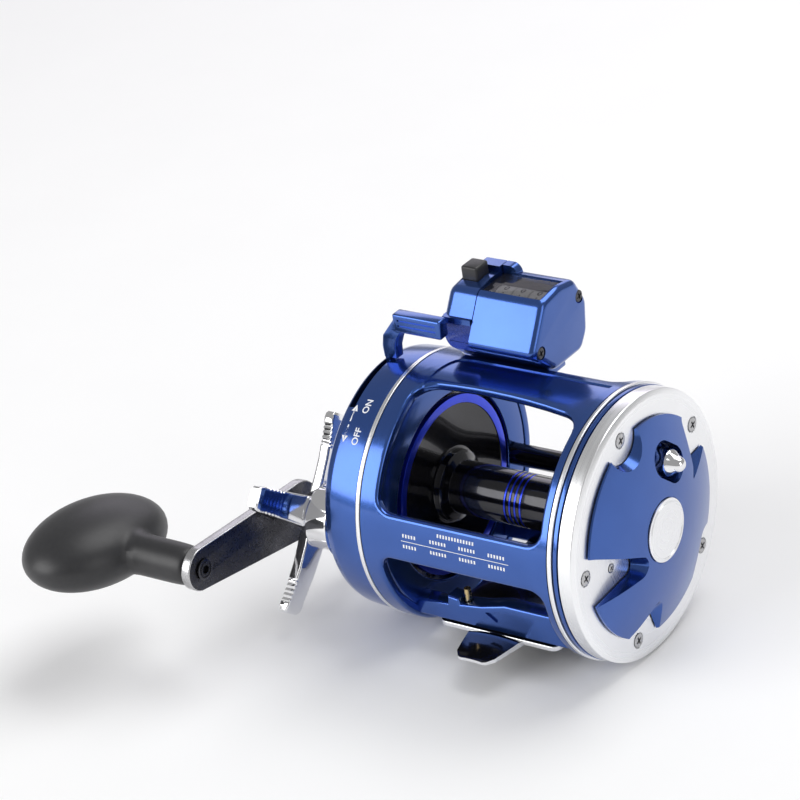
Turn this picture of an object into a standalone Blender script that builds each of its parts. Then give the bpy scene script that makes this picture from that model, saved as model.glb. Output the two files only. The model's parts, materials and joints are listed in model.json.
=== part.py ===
"""Level-wind trolling reel with a line counter, built as separate named pieces.

All sizes are millimetres. X runs along the spool from the handle side (-X) to the palm
side (+X), Y points forward to the rod tip and Z points up. The origin is the centre of
the flat underside of the foot. Places are given from the spool's axis, AXIS_Z above it.
"""

import math

import bmesh
import bpy
from mathutils import Matrix, Vector

MM = 0.001
GAP = 0.3

# Sides of a full turn, on the big pieces and on the small ones
ROUND = 44
SMALL_ROUND = 16

# Driving sizes
AXIS_Z = 30.1
FRAME_R = 38.4
FRAME_LEFT = (-31.6, -26.25)
FRAME_RIGHT = (26.5, 29.0)
OPENING_R = 27.4
BAR_INNER_R = 34.6
FLANGE_R = 26.0
ARBOR_R = 7.7
COVER_R = 37.6
COVER_END = -45.85
COVER_WALL = 1.8
TRIM_R = 38.0
TRIM_FACE = 37.05
DOME_R = 31.0
DOME_CROWN = 42.9
FOOT_THICKNESS = 1.6

# Drive: the crank shaft sits behind and a little below the spool
SHAFT_Y = -16.8
SHAFT_Z = -8.6
SHAFT_DISTANCE = math.hypot(SHAFT_Y, SHAFT_Z)
DRIVE_TEETH = 38
PINION_TEETH = 10
DRIVE_MODULE = 2 * SHAFT_DISTANCE / (DRIVE_TEETH + PINION_TEETH)

# Level wind: a worm in a tube in front of the spool, turned through an idler
WORM_Y = 29.3
WORM_Z = -5.2
WORM_MODULE = 0.7
SPOOL_GEAR_TEETH = 14
IDLER_TEETH = 30
WORM_TEETH = 13
TUBE_R = 3.3
GUIDE_X = 14.0

# Handle
CRANK_LENGTH = 45.0
CRANK_ANGLE = math.radians(173.0)
KNOB_Y = SHAFT_Y + CRANK_LENGTH * math.cos(CRANK_ANGLE)
KNOB_Z = SHAFT_Z + CRANK_LENGTH * math.sin(CRANK_ANGLE)
KNOB_X = -109.6
KNOB_SIZES = (17.4, 24.6, 11.1)
ARM_X = (-73.2, -70.2)
STAR_ANGLE = 53.0

# Palm side fasteners stand on one circle
SCREW_CIRCLE = 32.0
SCREW_ANGLES = (33.5, 105.5, 177.5, 249.5, 321.5)

# Line counter
COUNTER_X = (-15.6, 5.75)
COUNTER_GEARBOX_X = (-26.0, -15.9)
COUNTER_BASE = 36.4
COUNTER_WALL = 1.6
FIN_TOP = 60.6
WHEEL_R = 5.0
WHEEL_WIDTH = 5.0
WHEEL_Y = 15.5
WHEEL_Z = 52.0

# The clicker's button rests here and slides towards the top rear
CLICKER = (9.7, 15.2)
CLICKER_ANGLE = 140.0
CLICKER_TRAVEL = 5.0
CLICK_TEETH = 16
CLICK_MODULE = 1.0
CLICK_TIP = (10.56, 2.68)

# Anti-reverse dog and its ratchet
DOG_PIVOT = (-19.1, -21.9)
RATCHET_R = 8.6
RATCHET_TEETH = 10
RATCHET_PHASE = -131.6

# Clutch: the free-spool lever lifts a yoke on two posts, and the pinion with it
YOKE_POST_Y = 3.0
YOKE_POST_Z = 11.0

FOOT_SCREWS = ((-10.3, -22.25), (10.3, 22.25))

SIDEWAYS = Matrix(((0, 0, 1, 0), (1, 0, 0, 0), (0, 1, 0, 0), (0, 0, 0, 1)))
UPRIGHT = Matrix.Identity(4)

for old in list(bpy.data.objects):
    bpy.data.objects.remove(old)

REEL = bpy.data.collections.new("trolling_reel")
CUTTERS = bpy.data.collections.new("cutters")
bpy.context.scene.collection.children.link(REEL)
bpy.context.scene.collection.children.link(CUTTERS)
MATERIALS = {}


def material(name, colour, roughness, metallic):
    """A Principled material, kept so that pieces can share it."""
    made = bpy.data.materials.new(name)
    made.use_nodes = True
    shader = made.node_tree.nodes["Principled BSDF"]
    shader.inputs["Base Color"].default_value = (*colour, 1)
    shader.inputs["Roughness"].default_value = roughness
    shader.inputs["Metallic"].default_value = metallic
    MATERIALS[name] = made


material("blue_anodised", (0.03, 0.12, 0.5), 0.25, 0.9)
material("silver_satin", (0.8, 0.8, 0.8), 0.35, 1.0)
material("chrome_plate", (0.9, 0.9, 0.9), 0.08, 1.0)
material("black_anodised", (0.02, 0.02, 0.025), 0.2, 0.8)
material("steel", (0.5, 0.5, 0.5), 0.35, 1.0)
material("brass", (0.7, 0.5, 0.2), 0.3, 1.0)
material("rubber", (0.03, 0.03, 0.035), 0.7, 0.0)
material("plastic_black", (0.02, 0.02, 0.02), 0.45, 0.0)
material("plastic_white", (0.7, 0.7, 0.7), 0.4, 0.0)
material("fibre", (0.25, 0.14, 0.07), 0.8, 0.0)
material("window_smoke", (0.1, 0.1, 0.12), 0.1, 0.0)


def placed(x, y, z, turn):
    """The matrix of a piece whose own origin is at x, y, z from the spool's axis."""
    return Matrix.Translation(Vector((x, y, z + AXIS_Z)) * MM) @ turn


def add(name, mesh, paint, place):
    """Puts a mesh in the scene as one sub-part, or as a cutter when it has no paint."""
    made = bpy.data.objects.new(name, mesh)
    if paint:
        mesh.materials.append(MATERIALS[paint])
        REEL.objects.link(made)
    else:
        CUTTERS.objects.link(made)
        made.hide_render = True
        made.display_type = "WIRE"
    made.matrix_world = place
    return made


def turned(name, profile, paint, y=0.0, z=0.0, steps=SMALL_ROUND, x=0.0, turn=SIDEWAYS):
    """A shape turned about its own axis, from (along, radius) points.

    A profile that starts and ends on the axis is left open there; any other is a ring.
    """
    solid = profile[0][1] == 0 and profile[-1][1] == 0
    area = sum(a[1] * b[0] - b[1] * a[0] for a, b in zip(profile, profile[1:] + profile[:1]))
    if area > 0:
        profile = profile[::-1]
    points = [(radius * MM, 0, along * MM) for along, radius in profile]
    edges = [(i, i + 1) for i in range(len(points) - 1)]
    if not solid:
        edges.append((len(points) - 1, 0))
    mesh = bpy.data.meshes.new(name)
    mesh.from_pydata(points, edges, [])
    made = add(name, mesh, paint, placed(x, y, z, turn))
    screw = made.modifiers.new("Turn", "SCREW")
    screw.axis = "Z"
    screw.steps = steps
    screw.render_steps = steps
    screw.use_merge_vertices = True
    screw.merge_threshold = 0.000001
    return made


def face_outwards(mesh):
    bmesh.ops.recalc_face_normals(mesh, faces=mesh.faces)
    if mesh.calc_volume(signed=True) < 0:
        bmesh.ops.reverse_faces(mesh, faces=mesh.faces)


def plate(name, outlines, x0, x1, paint, y=0.0, z=0.0, turn=SIDEWAYS):
    """A flat piece between x0 and x1 along its own axis, from outlines in its own plane."""
    curve = bpy.data.curves.new(name, "CURVE")
    curve.dimensions = "2D"
    curve.fill_mode = "BOTH"
    curve.extrude = (x1 - x0) / 2 * MM
    for outline in outlines:
        spline = curve.splines.new("POLY")
        spline.points.add(len(outline) - 1)
        for point, (u, v) in zip(spline.points, outline):
            point.co = (u * MM, v * MM, 0, 1)
        spline.use_cyclic_u = True
    guide = bpy.data.objects.new(name + "_outline", curve)
    bpy.context.scene.collection.objects.link(guide)
    graph = bpy.context.evaluated_depsgraph_get()
    mesh = bpy.data.meshes.new_from_object(guide.evaluated_get(graph))
    bpy.data.objects.remove(guide)
    welded = bmesh.new()
    welded.from_mesh(mesh)
    bmesh.ops.remove_doubles(welded, verts=welded.verts, dist=0.000001)
    bmesh.ops.translate(welded, verts=welded.verts, vec=(0, 0, (x0 + x1) / 2 * MM))
    face_outwards(welded)
    welded.to_mesh(mesh)
    welded.free()
    return add(name, mesh, paint, placed(0, y, z, turn))


def block(name, x, y, z, paint, bevel=0.0, segments=2):
    """A box between two values on each axis, with its edges rounded."""
    sizes = [(pair[1] - pair[0]) * MM for pair in (x, y, z)]
    middle = [(pair[0] + pair[1]) / 2 for pair in (x, y, z)]
    mesh = bpy.data.meshes.new(name)
    cube = bmesh.new()
    bmesh.ops.create_cube(cube, size=1.0, matrix=Matrix.Diagonal((*sizes, 1)))
    cube.to_mesh(mesh)
    cube.free()
    made = add(name, mesh, paint, placed(*middle, UPRIGHT))
    if bevel:
        soften(made, bevel, segments)
    return made


def soften(made, width, segments=2, angle=40):
    bevel = made.modifiers.new("Soften", "BEVEL")
    bevel.width = width * MM
    bevel.segments = segments
    bevel.limit_method = "ANGLE"
    bevel.angle_limit = math.radians(angle)


def combine(made, other, how):
    """Cuts, joins or crosses a sub-part with a helper from the cutters' collection."""
    boolean = made.modifiers.new(how.title(), "BOOLEAN")
    boolean.operation = how
    boolean.object = other
    return made


def cut(made, *others):
    for other in others:
        combine(made, other, "DIFFERENCE")
    return made


def join(made, *others):
    for other in others:
        combine(made, other, "UNION")
    return made


def rod(name, x0, x1, radius, paint, y=0.0, z=0.0, steps=SMALL_ROUND):
    """A plain round bar along the X axis."""
    return turned(name, [(x0, 0), (x0, radius), (x1, radius), (x1, 0)], paint, y, z, steps)


def upright_rod(name, z0, z1, radius, paint, x, y, steps=SMALL_ROUND):
    profile = [(z0, 0), (z0, radius), (z1, radius), (z1, 0)]
    return turned(name, profile, paint, y, 0, steps, x, UPRIGHT)


def ring(name, x0, x1, inner, outer, paint, y=0.0, z=0.0, steps=SMALL_ROUND):
    """A washer or tube along the X axis."""
    profile = [(x0, inner), (x0, outer), (x1, outer), (x1, inner)]
    return turned(name, profile, paint, y, z, steps)


def circle(radius, count=SMALL_ROUND, y=0.0, z=0.0):
    return [
        (y + radius * math.cos(2 * math.pi * i / count), z + radius * math.sin(2 * math.pi * i / count))
        for i in range(count)
    ]


def polar(radius, degrees, y=0.0, z=0.0):
    return y + radius * math.cos(math.radians(degrees)), z + radius * math.sin(math.radians(degrees))


def sector(inner, outer, start, end, count):
    """An arched outline between two radii and two angles in degrees."""
    angles = [start + (end - start) * i / count for i in range(count + 1)]
    return [polar(outer, a) for a in angles] + [polar(inner, a) for a in reversed(angles)]


def gear_outline(teeth, module, phase=0.0):
    """Straight-sided teeth, thinner than their gaps so that meshing gears run free."""
    pitch_r = teeth * module / 2
    root_r = pitch_r - 1.15 * module
    tip_r = pitch_r + 0.85 * module
    half_gap = 180 / teeth
    outline = []
    for i in range(teeth):
        middle = phase + 360 * i / teeth
        for radius, share in ((root_r, -0.6), (tip_r, -0.22), (tip_r, 0.22), (root_r, 0.6)):
            outline.append(polar(radius, middle + share * half_gap))
    return outline


def gear(name, teeth, module, x0, x1, bore, paint, y=0.0, z=0.0, phase=0.0):
    outlines = [gear_outline(teeth, module, phase)]
    if bore:
        outlines.append(circle(bore))
    return plate(name, outlines, x0, x1, paint, y, z)


def meshing_phase(teeth, phase, other_teeth, direction):
    """The phase that puts another gear's gaps where a gear's teeth meet it in a direction."""
    pitch = 360 / teeth
    ahead = (phase - direction) % pitch
    return direction + 180 - ahead * teeth / other_teeth + 180 / other_teeth


def rounded(points, radius, steps=4):
    """An outline with each corner turned into an arc."""
    outline = []
    for i, corner in enumerate(points):
        here = Vector(corner)
        back = (Vector(points[i - 1]) - here).normalized()
        ahead = (Vector(points[(i + 1) % len(points)]) - here).normalized()
        half = back.angle(ahead) / 2
        middle = here + (back + ahead).normalized() * (radius / math.sin(half))
        start = here + back * (radius / math.tan(half)) - middle
        end = here + ahead * (radius / math.tan(half)) - middle
        for step in range(steps + 1):
            outline.append(tuple(middle + start.slerp(end, step / steps)))
    return outline


def inset(points, distance):
    """A convex outline, given anticlockwise, moved inwards by a distance."""
    outline = []
    for i, corner in enumerate(points):
        here = Vector(corner)
        back = (Vector(points[i - 1]) - here).normalized()
        ahead = (Vector(points[(i + 1) % len(points)]) - here).normalized()
        half = back.angle(ahead) / 2
        outline.append(tuple(here + (back + ahead).normalized() * (distance / math.sin(half))))
    return outline


def loft(name, sections, paint, place):
    """A closed skin over sections that have the same number of points, capped at both ends."""
    mesh = bpy.data.meshes.new(name)
    skin = bmesh.new()
    rows = [[skin.verts.new(Vector(point) * MM) for point in section] for section in sections]
    for low, high in zip(rows, rows[1:]):
        for i in range(len(low)):
            skin.faces.new((low[i - 1], low[i], high[i], high[i - 1]))
    skin.faces.new(rows[0])
    skin.faces.new(rows[-1][::-1])
    face_outwards(skin)
    skin.to_mesh(mesh)
    skin.free()
    return add(name, mesh, paint, place)


def capsule(start, end, radius, count=24):
    """An oblong outline around a straight line."""
    along = math.degrees(math.atan2(end[1] - start[1], end[0] - start[0]))
    half = count // 2
    outline = [polar(radius, along - 90 + 180 * i / half, *end) for i in range(half + 1)]
    return outline + [polar(radius, along + 90 + 180 * i / half, *start) for i in range(half + 1)]


def facing(degrees):
    """The turn of a piece whose own Z points away from the spool's axis at an angle."""
    s, c = math.sin(math.radians(degrees)), math.cos(math.radians(degrees))
    return Matrix(((1, 0, 0, 0), (0, s, c, 0), (0, -c, s, 0), (0, 0, 0, 1)))


def flare(x, radius):
    """How far a bar's edge spreads as it runs into either end ring."""
    near = min(x - FRAME_LEFT[1], FRAME_RIGHT[0] - x)
    if near >= radius:
        return 0.0
    near = max(near, 0.0)
    return radius - math.sqrt(radius**2 - (radius - near) ** 2)


def shell_bar(name, middle, low_edge, high_edge):
    """A bar of the drum between two edges, each a distance round from the bar's middle."""
    near_ring = (0.75, 1.3, 2.1, 3.2, 4.6, 6.5)
    stations = [-27.0] + [FRAME_LEFT[1] + step for step in near_ring] + [-13.0, -5.0, 3.0, 12.0]
    stations += [FRAME_RIGHT[0] - step for step in reversed(near_ring)] + [27.2]
    outline = [(x, low_edge(x)) for x in stations] + [(x, high_edge(x)) for x in reversed(stations)]
    side = 360 / ROUND
    first, last = round((middle - 34) / side), round((middle + 34) / side)
    wall = sector(BAR_INNER_R, FRAME_R - 0.08, first * side, last * side, last - first)
    bar = plate(name, [wall], -27.0, 27.2, None)
    window = plate(name + "_edges", [outline], 24.0, 44.0, None, turn=facing(middle))
    return combine(bar, window, "INTERSECT")


def frame():
    left = [
        (FRAME_LEFT[0], OPENING_R),
        (FRAME_LEFT[0], FRAME_R - 0.4),
        (FRAME_LEFT[0] + 0.4, FRAME_R),
        (FRAME_LEFT[1], FRAME_R),
        (FRAME_LEFT[1], OPENING_R),
    ]
    body = turned("frame", left, "blue_anodised", steps=ROUND)
    right = [
        (FRAME_RIGHT[0], OPENING_R),
        (FRAME_RIGHT[0], FRAME_R),
        (FRAME_RIGHT[1] - 0.4, FRAME_R),
        (FRAME_RIGHT[1], FRAME_R - 0.4),
        (FRAME_RIGHT[1], OPENING_R),
    ]
    join(body, turned("frame_right_ring", right, None, steps=ROUND))
    top = shell_bar(
        "frame_top_bar",
        89.4,
        lambda x: -7.45 - 0.0034 * (x + 5) ** 2 - flare(x, 6.0),
        lambda x: 9.7 + flare(x, 4.0),
    )
    rear = shell_bar("frame_rear_bar", 173.5, lambda x: -6.7 - flare(x, 4.0), lambda x: 6.7 + flare(x, 4.5))
    rib = plate("frame_rib", [sector(37.6, FRAME_R + 0.5, 78.0, 80.4, 4)], -24.6, 26.9, None)
    shelf = block("frame_shelf", (-26.6, 2.4), (8.0, 20.0), (33.2, COUNTER_BASE - GAP), None)
    join(body, top, rear, rib, shelf)
    for side in (-1, 1):
        y = tuple(sorted((side * 19.5, side * 25.0)))
        join(body, block(f"frame_foot_bar_{side}", (-27.0, 27.2), y, (-28.2, -19.0), None, 0.9))
    cut(
        body,
        rod("frame_worm_bore", -40, 28.2, 2.0, None, WORM_Y, WORM_Z),
        rod("frame_worm_gear_pocket", -40, -29.9, 5.75, None, WORM_Y, WORM_Z, 22),
    )
    for x, y in FOOT_SCREWS:
        cut(body, upright_rod(f"frame_foot_bore_{y}", -30, -15, 1.5, None, x, y))


def accent_ring(name, x0):
    ring(name, x0, x0 + 1.3, 36.3, 38.6, "silver_satin", steps=ROUND)


def handle_side_cover():
    inside = COVER_END + COVER_WALL
    profile = [
        (-33.5, 35.9),
        (-33.5, 38.1),
        (-42.5, COVER_R),
        (-44.5, 37.0),
        (-45.5, 35.8),
        (COVER_END, 34.2),
        (COVER_END, 4.4),
        (-43.0, 4.4),
        (-43.0, 6.0),
        (inside, 6.0),
        (inside, 35.2),
    ]
    cover = turned("handle_side_cover", profile, "blue_anodised", steps=ROUND)
    boss = [(-54.2, 0), (-54.2, 10.2), (-53.6, 10.8), (-45.0, 10.8), (-45.0, 0)]
    join(cover, turned("cover_boss", boss, None, SHAFT_Y, SHAFT_Z))
    cut(cover, rod("cover_bore", -60, -43.5, 5.2, None, SHAFT_Y, SHAFT_Z))
    cut(cover, plate("cover_lever_slot", [sector(33, 40, 86, 122, 12)], -44.0, -41.8, None))


def gear_bridge_plate():
    holes = [
        circle(36.0, ROUND),
        circle(5.3),
        circle(3.2, SMALL_ROUND, SHAFT_Y, SHAFT_Z),
        circle(2.0, SMALL_ROUND, WORM_Y, WORM_Z),
    ]
    bridge = plate("gear_bridge_plate", holes, -33.2, -31.9, "steel")
    for side in (-1, 1):
        join(bridge, rod(f"yoke_post_{side}", -42.6, -32.5, 1.2, None, YOKE_POST_Y, side * YOKE_POST_Z))
    join(bridge, rod("idler_pin", -32.5, -29.9, 1.2, None, *idler_centre()))
    join(bridge, rod("dog_pin", -36.0, -32.5, 1.2, None, *DOG_PIVOT))


def idler_centre():
    """Where the idler meshes with both the spool's gear and the worm's."""
    to_spool = (SPOOL_GEAR_TEETH + IDLER_TEETH) * WORM_MODULE / 2
    to_worm = (IDLER_TEETH + WORM_TEETH) * WORM_MODULE / 2
    apart = math.hypot(WORM_Y, WORM_Z)
    along = (to_spool**2 - to_worm**2 + apart**2) / (2 * apart)
    aside = math.sqrt(to_spool**2 - along**2)
    return (along * WORM_Y - aside * WORM_Z) / apart, (along * WORM_Z + aside * WORM_Y) / apart


def drive_train():
    shaft = [(-76.0, 0), (-76.0, 2.6), (-75.7, 2.9), (-31.2, 2.9), (-31.2, 0)]
    turned("drive_shaft", shaft, "steel", SHAFT_Y, SHAFT_Z)
    to_spool = math.degrees(math.atan2(-SHAFT_Z, -SHAFT_Y))
    gear(
        "drive_gear", DRIVE_TEETH, DRIVE_MODULE, -38.6, -36.2, 3.3, "brass", SHAFT_Y, SHAFT_Z, phase=to_spool
    )
    ratchet = []
    for i in range(RATCHET_TEETH):
        start = RATCHET_PHASE + 360 * i / RATCHET_TEETH
        ratchet += [polar(RATCHET_R, start), polar(6.9, start + 4), polar(6.9, start + 12)]
    plate("ratchet_wheel", [ratchet, circle(3.3)], -35.9, -34.9, "steel", SHAFT_Y, SHAFT_Z)
    for name, x0, x1, paint in (
        ("drag_washer_inner", -39.5, -38.9, "fibre"),
        ("drag_washer_metal", -40.3, -39.8, "steel"),
        ("drag_washer_outer", -41.2, -40.6, "fibre"),
        ("drag_pressure_plate", -42.2, -41.5, "steel"),
    ):
        ring(name, x0, x1, 3.3, 9.0, paint, SHAFT_Y, SHAFT_Z)
    dished = [(-43.0, 3.3), (-42.5, 7.5), (-42.9, 7.5), (-43.4, 3.3)]
    turned("drag_spring_washer", dished, "steel", SHAFT_Y, SHAFT_Z)
    pinion(to_spool)


def pinion(to_spool):
    phase = meshing_phase(DRIVE_TEETH, to_spool, PINION_TEETH, to_spool)
    made = gear("pinion", PINION_TEETH, DRIVE_MODULE, -39.6, -35.2, 0, "brass", phase=phase)
    join(made, rod("pinion_neck", -41.5, -39.4, 2.8, None), rod("pinion_flange", -42.0, -41.4, 3.9, None))
    cut(made, rod("pinion_bore", -43, -34, 2.0, None))
    cut(made, block("pinion_clutch_slot", (-36.4, -35.0), (-3.2, 3.2), (-1.0, 1.0), None))


def anti_reverse_dog():
    """A pawl that rests clear of the ratchet, its pivot ring and finger in one flat piece."""
    angle = 122.5
    finger = [
        polar(2.2, angle + 40),
        polar(6.8, angle + 5),
        polar(7.1, angle),
        polar(6.8, angle - 4),
        polar(2.2, angle - 40),
    ]
    body = plate("anti_reverse_dog", [circle(2.2), circle(1.5)], -35.9, -34.9, "steel", *DOG_PIVOT)
    tip = plate("dog_finger", [finger], -35.9, -34.9, None, *DOG_PIVOT)
    join(body, tip)
    cut(body, rod("dog_bore", -40, -30, 1.5, None, *DOG_PIVOT))


def clutch():
    half_width, half_height = 5.4, 13.0
    corners = [(-4.4, -half_height), (2 * half_width - 4.4, -half_height)]
    corners += [(y, half_height) for y, _ in reversed(corners)]
    outlines = [rounded(corners, 2.0), circle(3.2)]
    for side in (-1, 1):
        outlines.append(circle(1.5, 16, YOKE_POST_Y, side * YOKE_POST_Z))
    plate("clutch_yoke", outlines, -41.1, -40.2, "steel")


def free_spool_lever():
    """Hub and thin arm inside the cover, then a root through the slot and a ridged pad."""
    lever = ring("free_spool_lever", -43.75, -43.05, 6.3, 9.0, "blue_anodised")
    arm = block("lever_arm", (-43.75, -43.05), (-1.6, 2.8), (8.0, 33.5), None)
    root = block("lever_root", (-43.7, -42.1), (-1.0, 1.2), (32.5, 42.0), None)
    neck = [
        [(-43.6, -1.6, 38.6), (-39.0, -1.6, 38.6), (-39.0, 1.6, 38.6), (-43.6, 1.6, 38.6)],
        [(-43.6, -1.8, 42.0), (-38.8, -1.8, 42.0), (-38.8, 1.6, 42.0), (-43.6, 1.6, 42.0)],
        [(-42.6, -2.2, 45.6), (-37.4, -2.2, 45.6), (-37.4, 1.7, 45.6), (-42.6, 1.7, 45.6)],
        [(-38.6, -2.2, 51.0), (-34.0, -2.2, 51.0), (-34.0, 1.7, 51.0), (-38.6, 1.7, 51.0)],
    ]
    web = loft("lever_neck", neck, None, placed(0, 0, 0, UPRIGHT))
    pad = block("lever_pad", (-38.4, -22.4), (-2.2, 1.7), (47.2, 52.8), None, 0.5)
    join(lever, arm, root, web, pad)
    for z in (49.2, 50.8):
        cut(lever, block(f"lever_groove_{z}", (-36.8, -24.0), (-4, -1.8), (z, z + 0.5), None))


def tension_cap():
    profile = [
        (-50.4, 0),
        (-50.4, 6.4),
        (-49.8, 7.2),
        (-46.15, 7.2),
        (-46.15, 4.1),
        (-43.9, 4.1),
        (-43.9, 2.1),
        (-45.5, 2.1),
        (-45.5, 0),
    ]
    turned("tension_cap", profile, "silver_satin")


def spool():
    profile = [
        (-29.8, 2.5),
        (-29.8, 6.5),
        (-28.4, 6.5),
        (-28.4, FLANGE_R),
        (-26.6, FLANGE_R),
        (-26.6, 10.5),
        (-24.9, 10.5),
        (-23.5, ARBOR_R),
        (24.4, ARBOR_R),
        (26.9, 10.0),
        (26.9, FLANGE_R),
        (28.7, FLANGE_R),
        (28.7, 6.5),
        (30.2, 6.5),
        (30.2, 2.5),
    ]
    turned("spool", profile, "black_anodised", steps=32)
    ends = [(-45.2, 0), (-45.2, 1.7), (-34.9, 1.7), (-34.9, 2.2), (33.6, 2.2), (33.6, 0)]
    shaft = turned("spool_shaft", ends, "steel", steps=24)
    join(shaft, block("shaft_tongue", (-36.1, -35.3), (-2.8, 2.8), (-0.75, 0.75), None))
    ring("spool_bearing_left", -33.2, -31.9, 2.5, 5.0, "steel")
    ring("spool_bearing_right", 32.1, 33.5, 2.5, 4.4, "steel")
    tip_y, tip_z = polar(CLICKER_TRAVEL, CLICKER_ANGLE, *CLICK_TIP)
    phase = math.degrees(math.atan2(tip_z, tip_y)) + 180 / CLICK_TEETH
    gear("click_gear", CLICK_TEETH, CLICK_MODULE, 30.6, 31.8, 2.5, "steel", phase=phase)


def level_wind():
    idler_y, idler_z = idler_centre()
    to_idler = math.degrees(math.atan2(idler_z, idler_y))
    to_worm = math.degrees(math.atan2(WORM_Z - idler_z, WORM_Y - idler_y))
    idler_phase = meshing_phase(SPOOL_GEAR_TEETH, to_idler, IDLER_TEETH, to_idler)
    worm_phase = meshing_phase(IDLER_TEETH, idler_phase, WORM_TEETH, to_worm)
    x0, x1 = -31.4, -30.2
    gear("spool_gear", SPOOL_GEAR_TEETH, WORM_MODULE, x0, x1, 2.5, "brass", phase=to_idler)
    gear("idler_gear", IDLER_TEETH, WORM_MODULE, x0, x1, 1.5, "plastic_white", idler_y, idler_z, idler_phase)
    gear("worm_gear", WORM_TEETH, WORM_MODULE, x0, x1, 1.9, "brass", WORM_Y, WORM_Z, worm_phase)
    rod("worm_shaft", -32.9, 27.9, 1.6, "brass", WORM_Y, WORM_Z)
    tube = ring("level_wind_tube", -26.0, 26.2, 2.4, TUBE_R, "black_anodised", WORM_Y, WORM_Z)
    slot_y = (WORM_Y - 1.2, WORM_Y + 1.2)
    cut(tube, block("tube_slot", (-24.5, 24.5), slot_y, (WORM_Z - 5, WORM_Z - 1.7), None))
    line_guide()


def line_guide():
    """A carriage round the tube, with an upright eye that the line runs through."""
    x = (GUIDE_X - 4, GUIDE_X + 4)
    carriage_y = (WORM_Y - 4.7, WORM_Y + 4.7)
    made = block("line_guide", x, carriage_y, (WORM_Z - 4.7, WORM_Z + 4.7), "plastic_black", 1.2)
    eye_y = (WORM_Y - 1.2, WORM_Y + 1.2)
    join(made, block("guide_eye", x, eye_y, (WORM_Z + 4.0, WORM_Z + 14.5), None))
    cut(made, block("guide_eye_hole", (x[0] + 1.5, x[1] - 1.5), (20, 40), (WORM_Z + 5.9, WORM_Z + 12.9), None))
    cut(made, rod("guide_bore", 0, 30, TUBE_R + GAP, None, WORM_Y, WORM_Z))
    cut(made, upright_rod("guide_cap_bore", -12, WORM_Z - 4.0, 2.5, None, GUIDE_X, WORM_Y))
    cut(made, upright_rod("guide_pawl_bore", WORM_Z - 4.4, 0, 1.3, None, GUIDE_X, WORM_Y))
    pawl_top = WORM_Z - 1.6 - GAP
    profile = [
        (-11.4, 0),
        (-11.4, 2.2),
        (WORM_Z - 5.0, 2.2),
        (WORM_Z - 5.0, 1.0),
        (pawl_top, 1.0),
        (pawl_top, 0),
    ]
    turned("guide_pawl_cap", profile, "steel", WORM_Y, 0, 24, GUIDE_X, UPRIGHT)


def palm_side_plate():
    profile = [
        (30.9, 32.0),
        (30.9, 38.1),
        (32.05, 38.1),
        (32.05, 33.5),
        (35.6, 33.5),
        (35.6, 32.0),
        (35.4, 32.0),
        (35.4, 0),
        (33.9, 0),
        (33.9, 4.7),
        (32.1, 4.7),
        (32.1, 6.2),
        (33.9, 6.2),
        (33.9, 32.0),
    ]
    made = turned_shell("palm_side_plate", profile, "blue_anodised")
    cut(made, plate("clicker_stem_slot", [clicker_path(1.7)], 33, 36, None))
    for i, degrees in enumerate(SCREW_ANGLES):
        cut(made, rod(f"plate_screw_bore_{i}", 34.3, 37, 1.3, None, *polar(SCREW_CIRCLE, degrees), 12))


def turned_shell(name, profile, paint):
    """A turned cup: the profile touches the axis along a stretch in its middle."""
    touches = [i for i, (_, radius) in enumerate(profile) if radius == 0]
    start = touches[-1]
    return turned(name, profile[start:] + profile[:start], paint, steps=ROUND)


def clicker_path(radius):
    return capsule(CLICKER, polar(CLICKER_TRAVEL, CLICKER_ANGLE, *CLICKER), radius)


def trim_ring():
    profile = [
        (32.35, 33.8),
        (32.35, TRIM_R),
        (36.4, TRIM_R),
        (TRIM_FACE, 36.2),
        (TRIM_FACE, 10.0),
        (35.9, 10.0),
        (35.9, 33.8),
    ]
    made = turned("trim_ring", profile, "silver_satin", steps=ROUND)
    cut(made, plate("trim_clicker_recess", [clicker_path(4.75)], 35, 38, None))
    for i, degrees in enumerate(SCREW_ANGLES):
        y, z = polar(SCREW_CIRCLE, degrees)
        seat = [(35, 0), (35, 1.3), (36.3, 1.3), (36.3, 2.3), (38, 2.3), (38, 0)]
        cut(made, turned(f"trim_screw_seat_{i}", seat, None, y, z, 12))
        head = [(34.6, 0), (34.6, 1.0), (36.6, 1.0), (36.6, 2.0), (37.3, 2.0), (37.3, 0)]
        turned(f"trim_screw_{i + 1}", head, "steel", y, z, 12)
    y, z = polar(20.0, -174)
    cut(made, rod("dome_screw_seat", 36.3, 38, 1.5, None, y, z))
    rod("dome_screw", 36.6, 37.3, 1.2, "steel", y, z)


def dome_surface(radius):
    """How far out the dome's surface stands at a distance from its middle."""
    drop = 4.9
    ball = (DOME_R**2 + drop**2) / (2 * drop)
    return DOME_CROWN - ball + math.sqrt(ball**2 - radius**2)


def bite_cutter(name, outline, pivot, slope):
    """A cutter that goes straight up to the shield and then opens out from a point as it rises."""
    sections = []
    for x, rise in ((36.0, 0.0), (TRIM_FACE, 0.0), (44.0, 44.0 - TRIM_FACE)):
        grow = 1 + slope * rise / 10
        opened = [Vector(pivot).lerp(Vector(corner), grow) for corner in outline]
        sections.append([(x, y, z) for y, z in opened])
    return loft(name, sections, None, placed(0, 0, 0, UPRIGHT))


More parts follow.
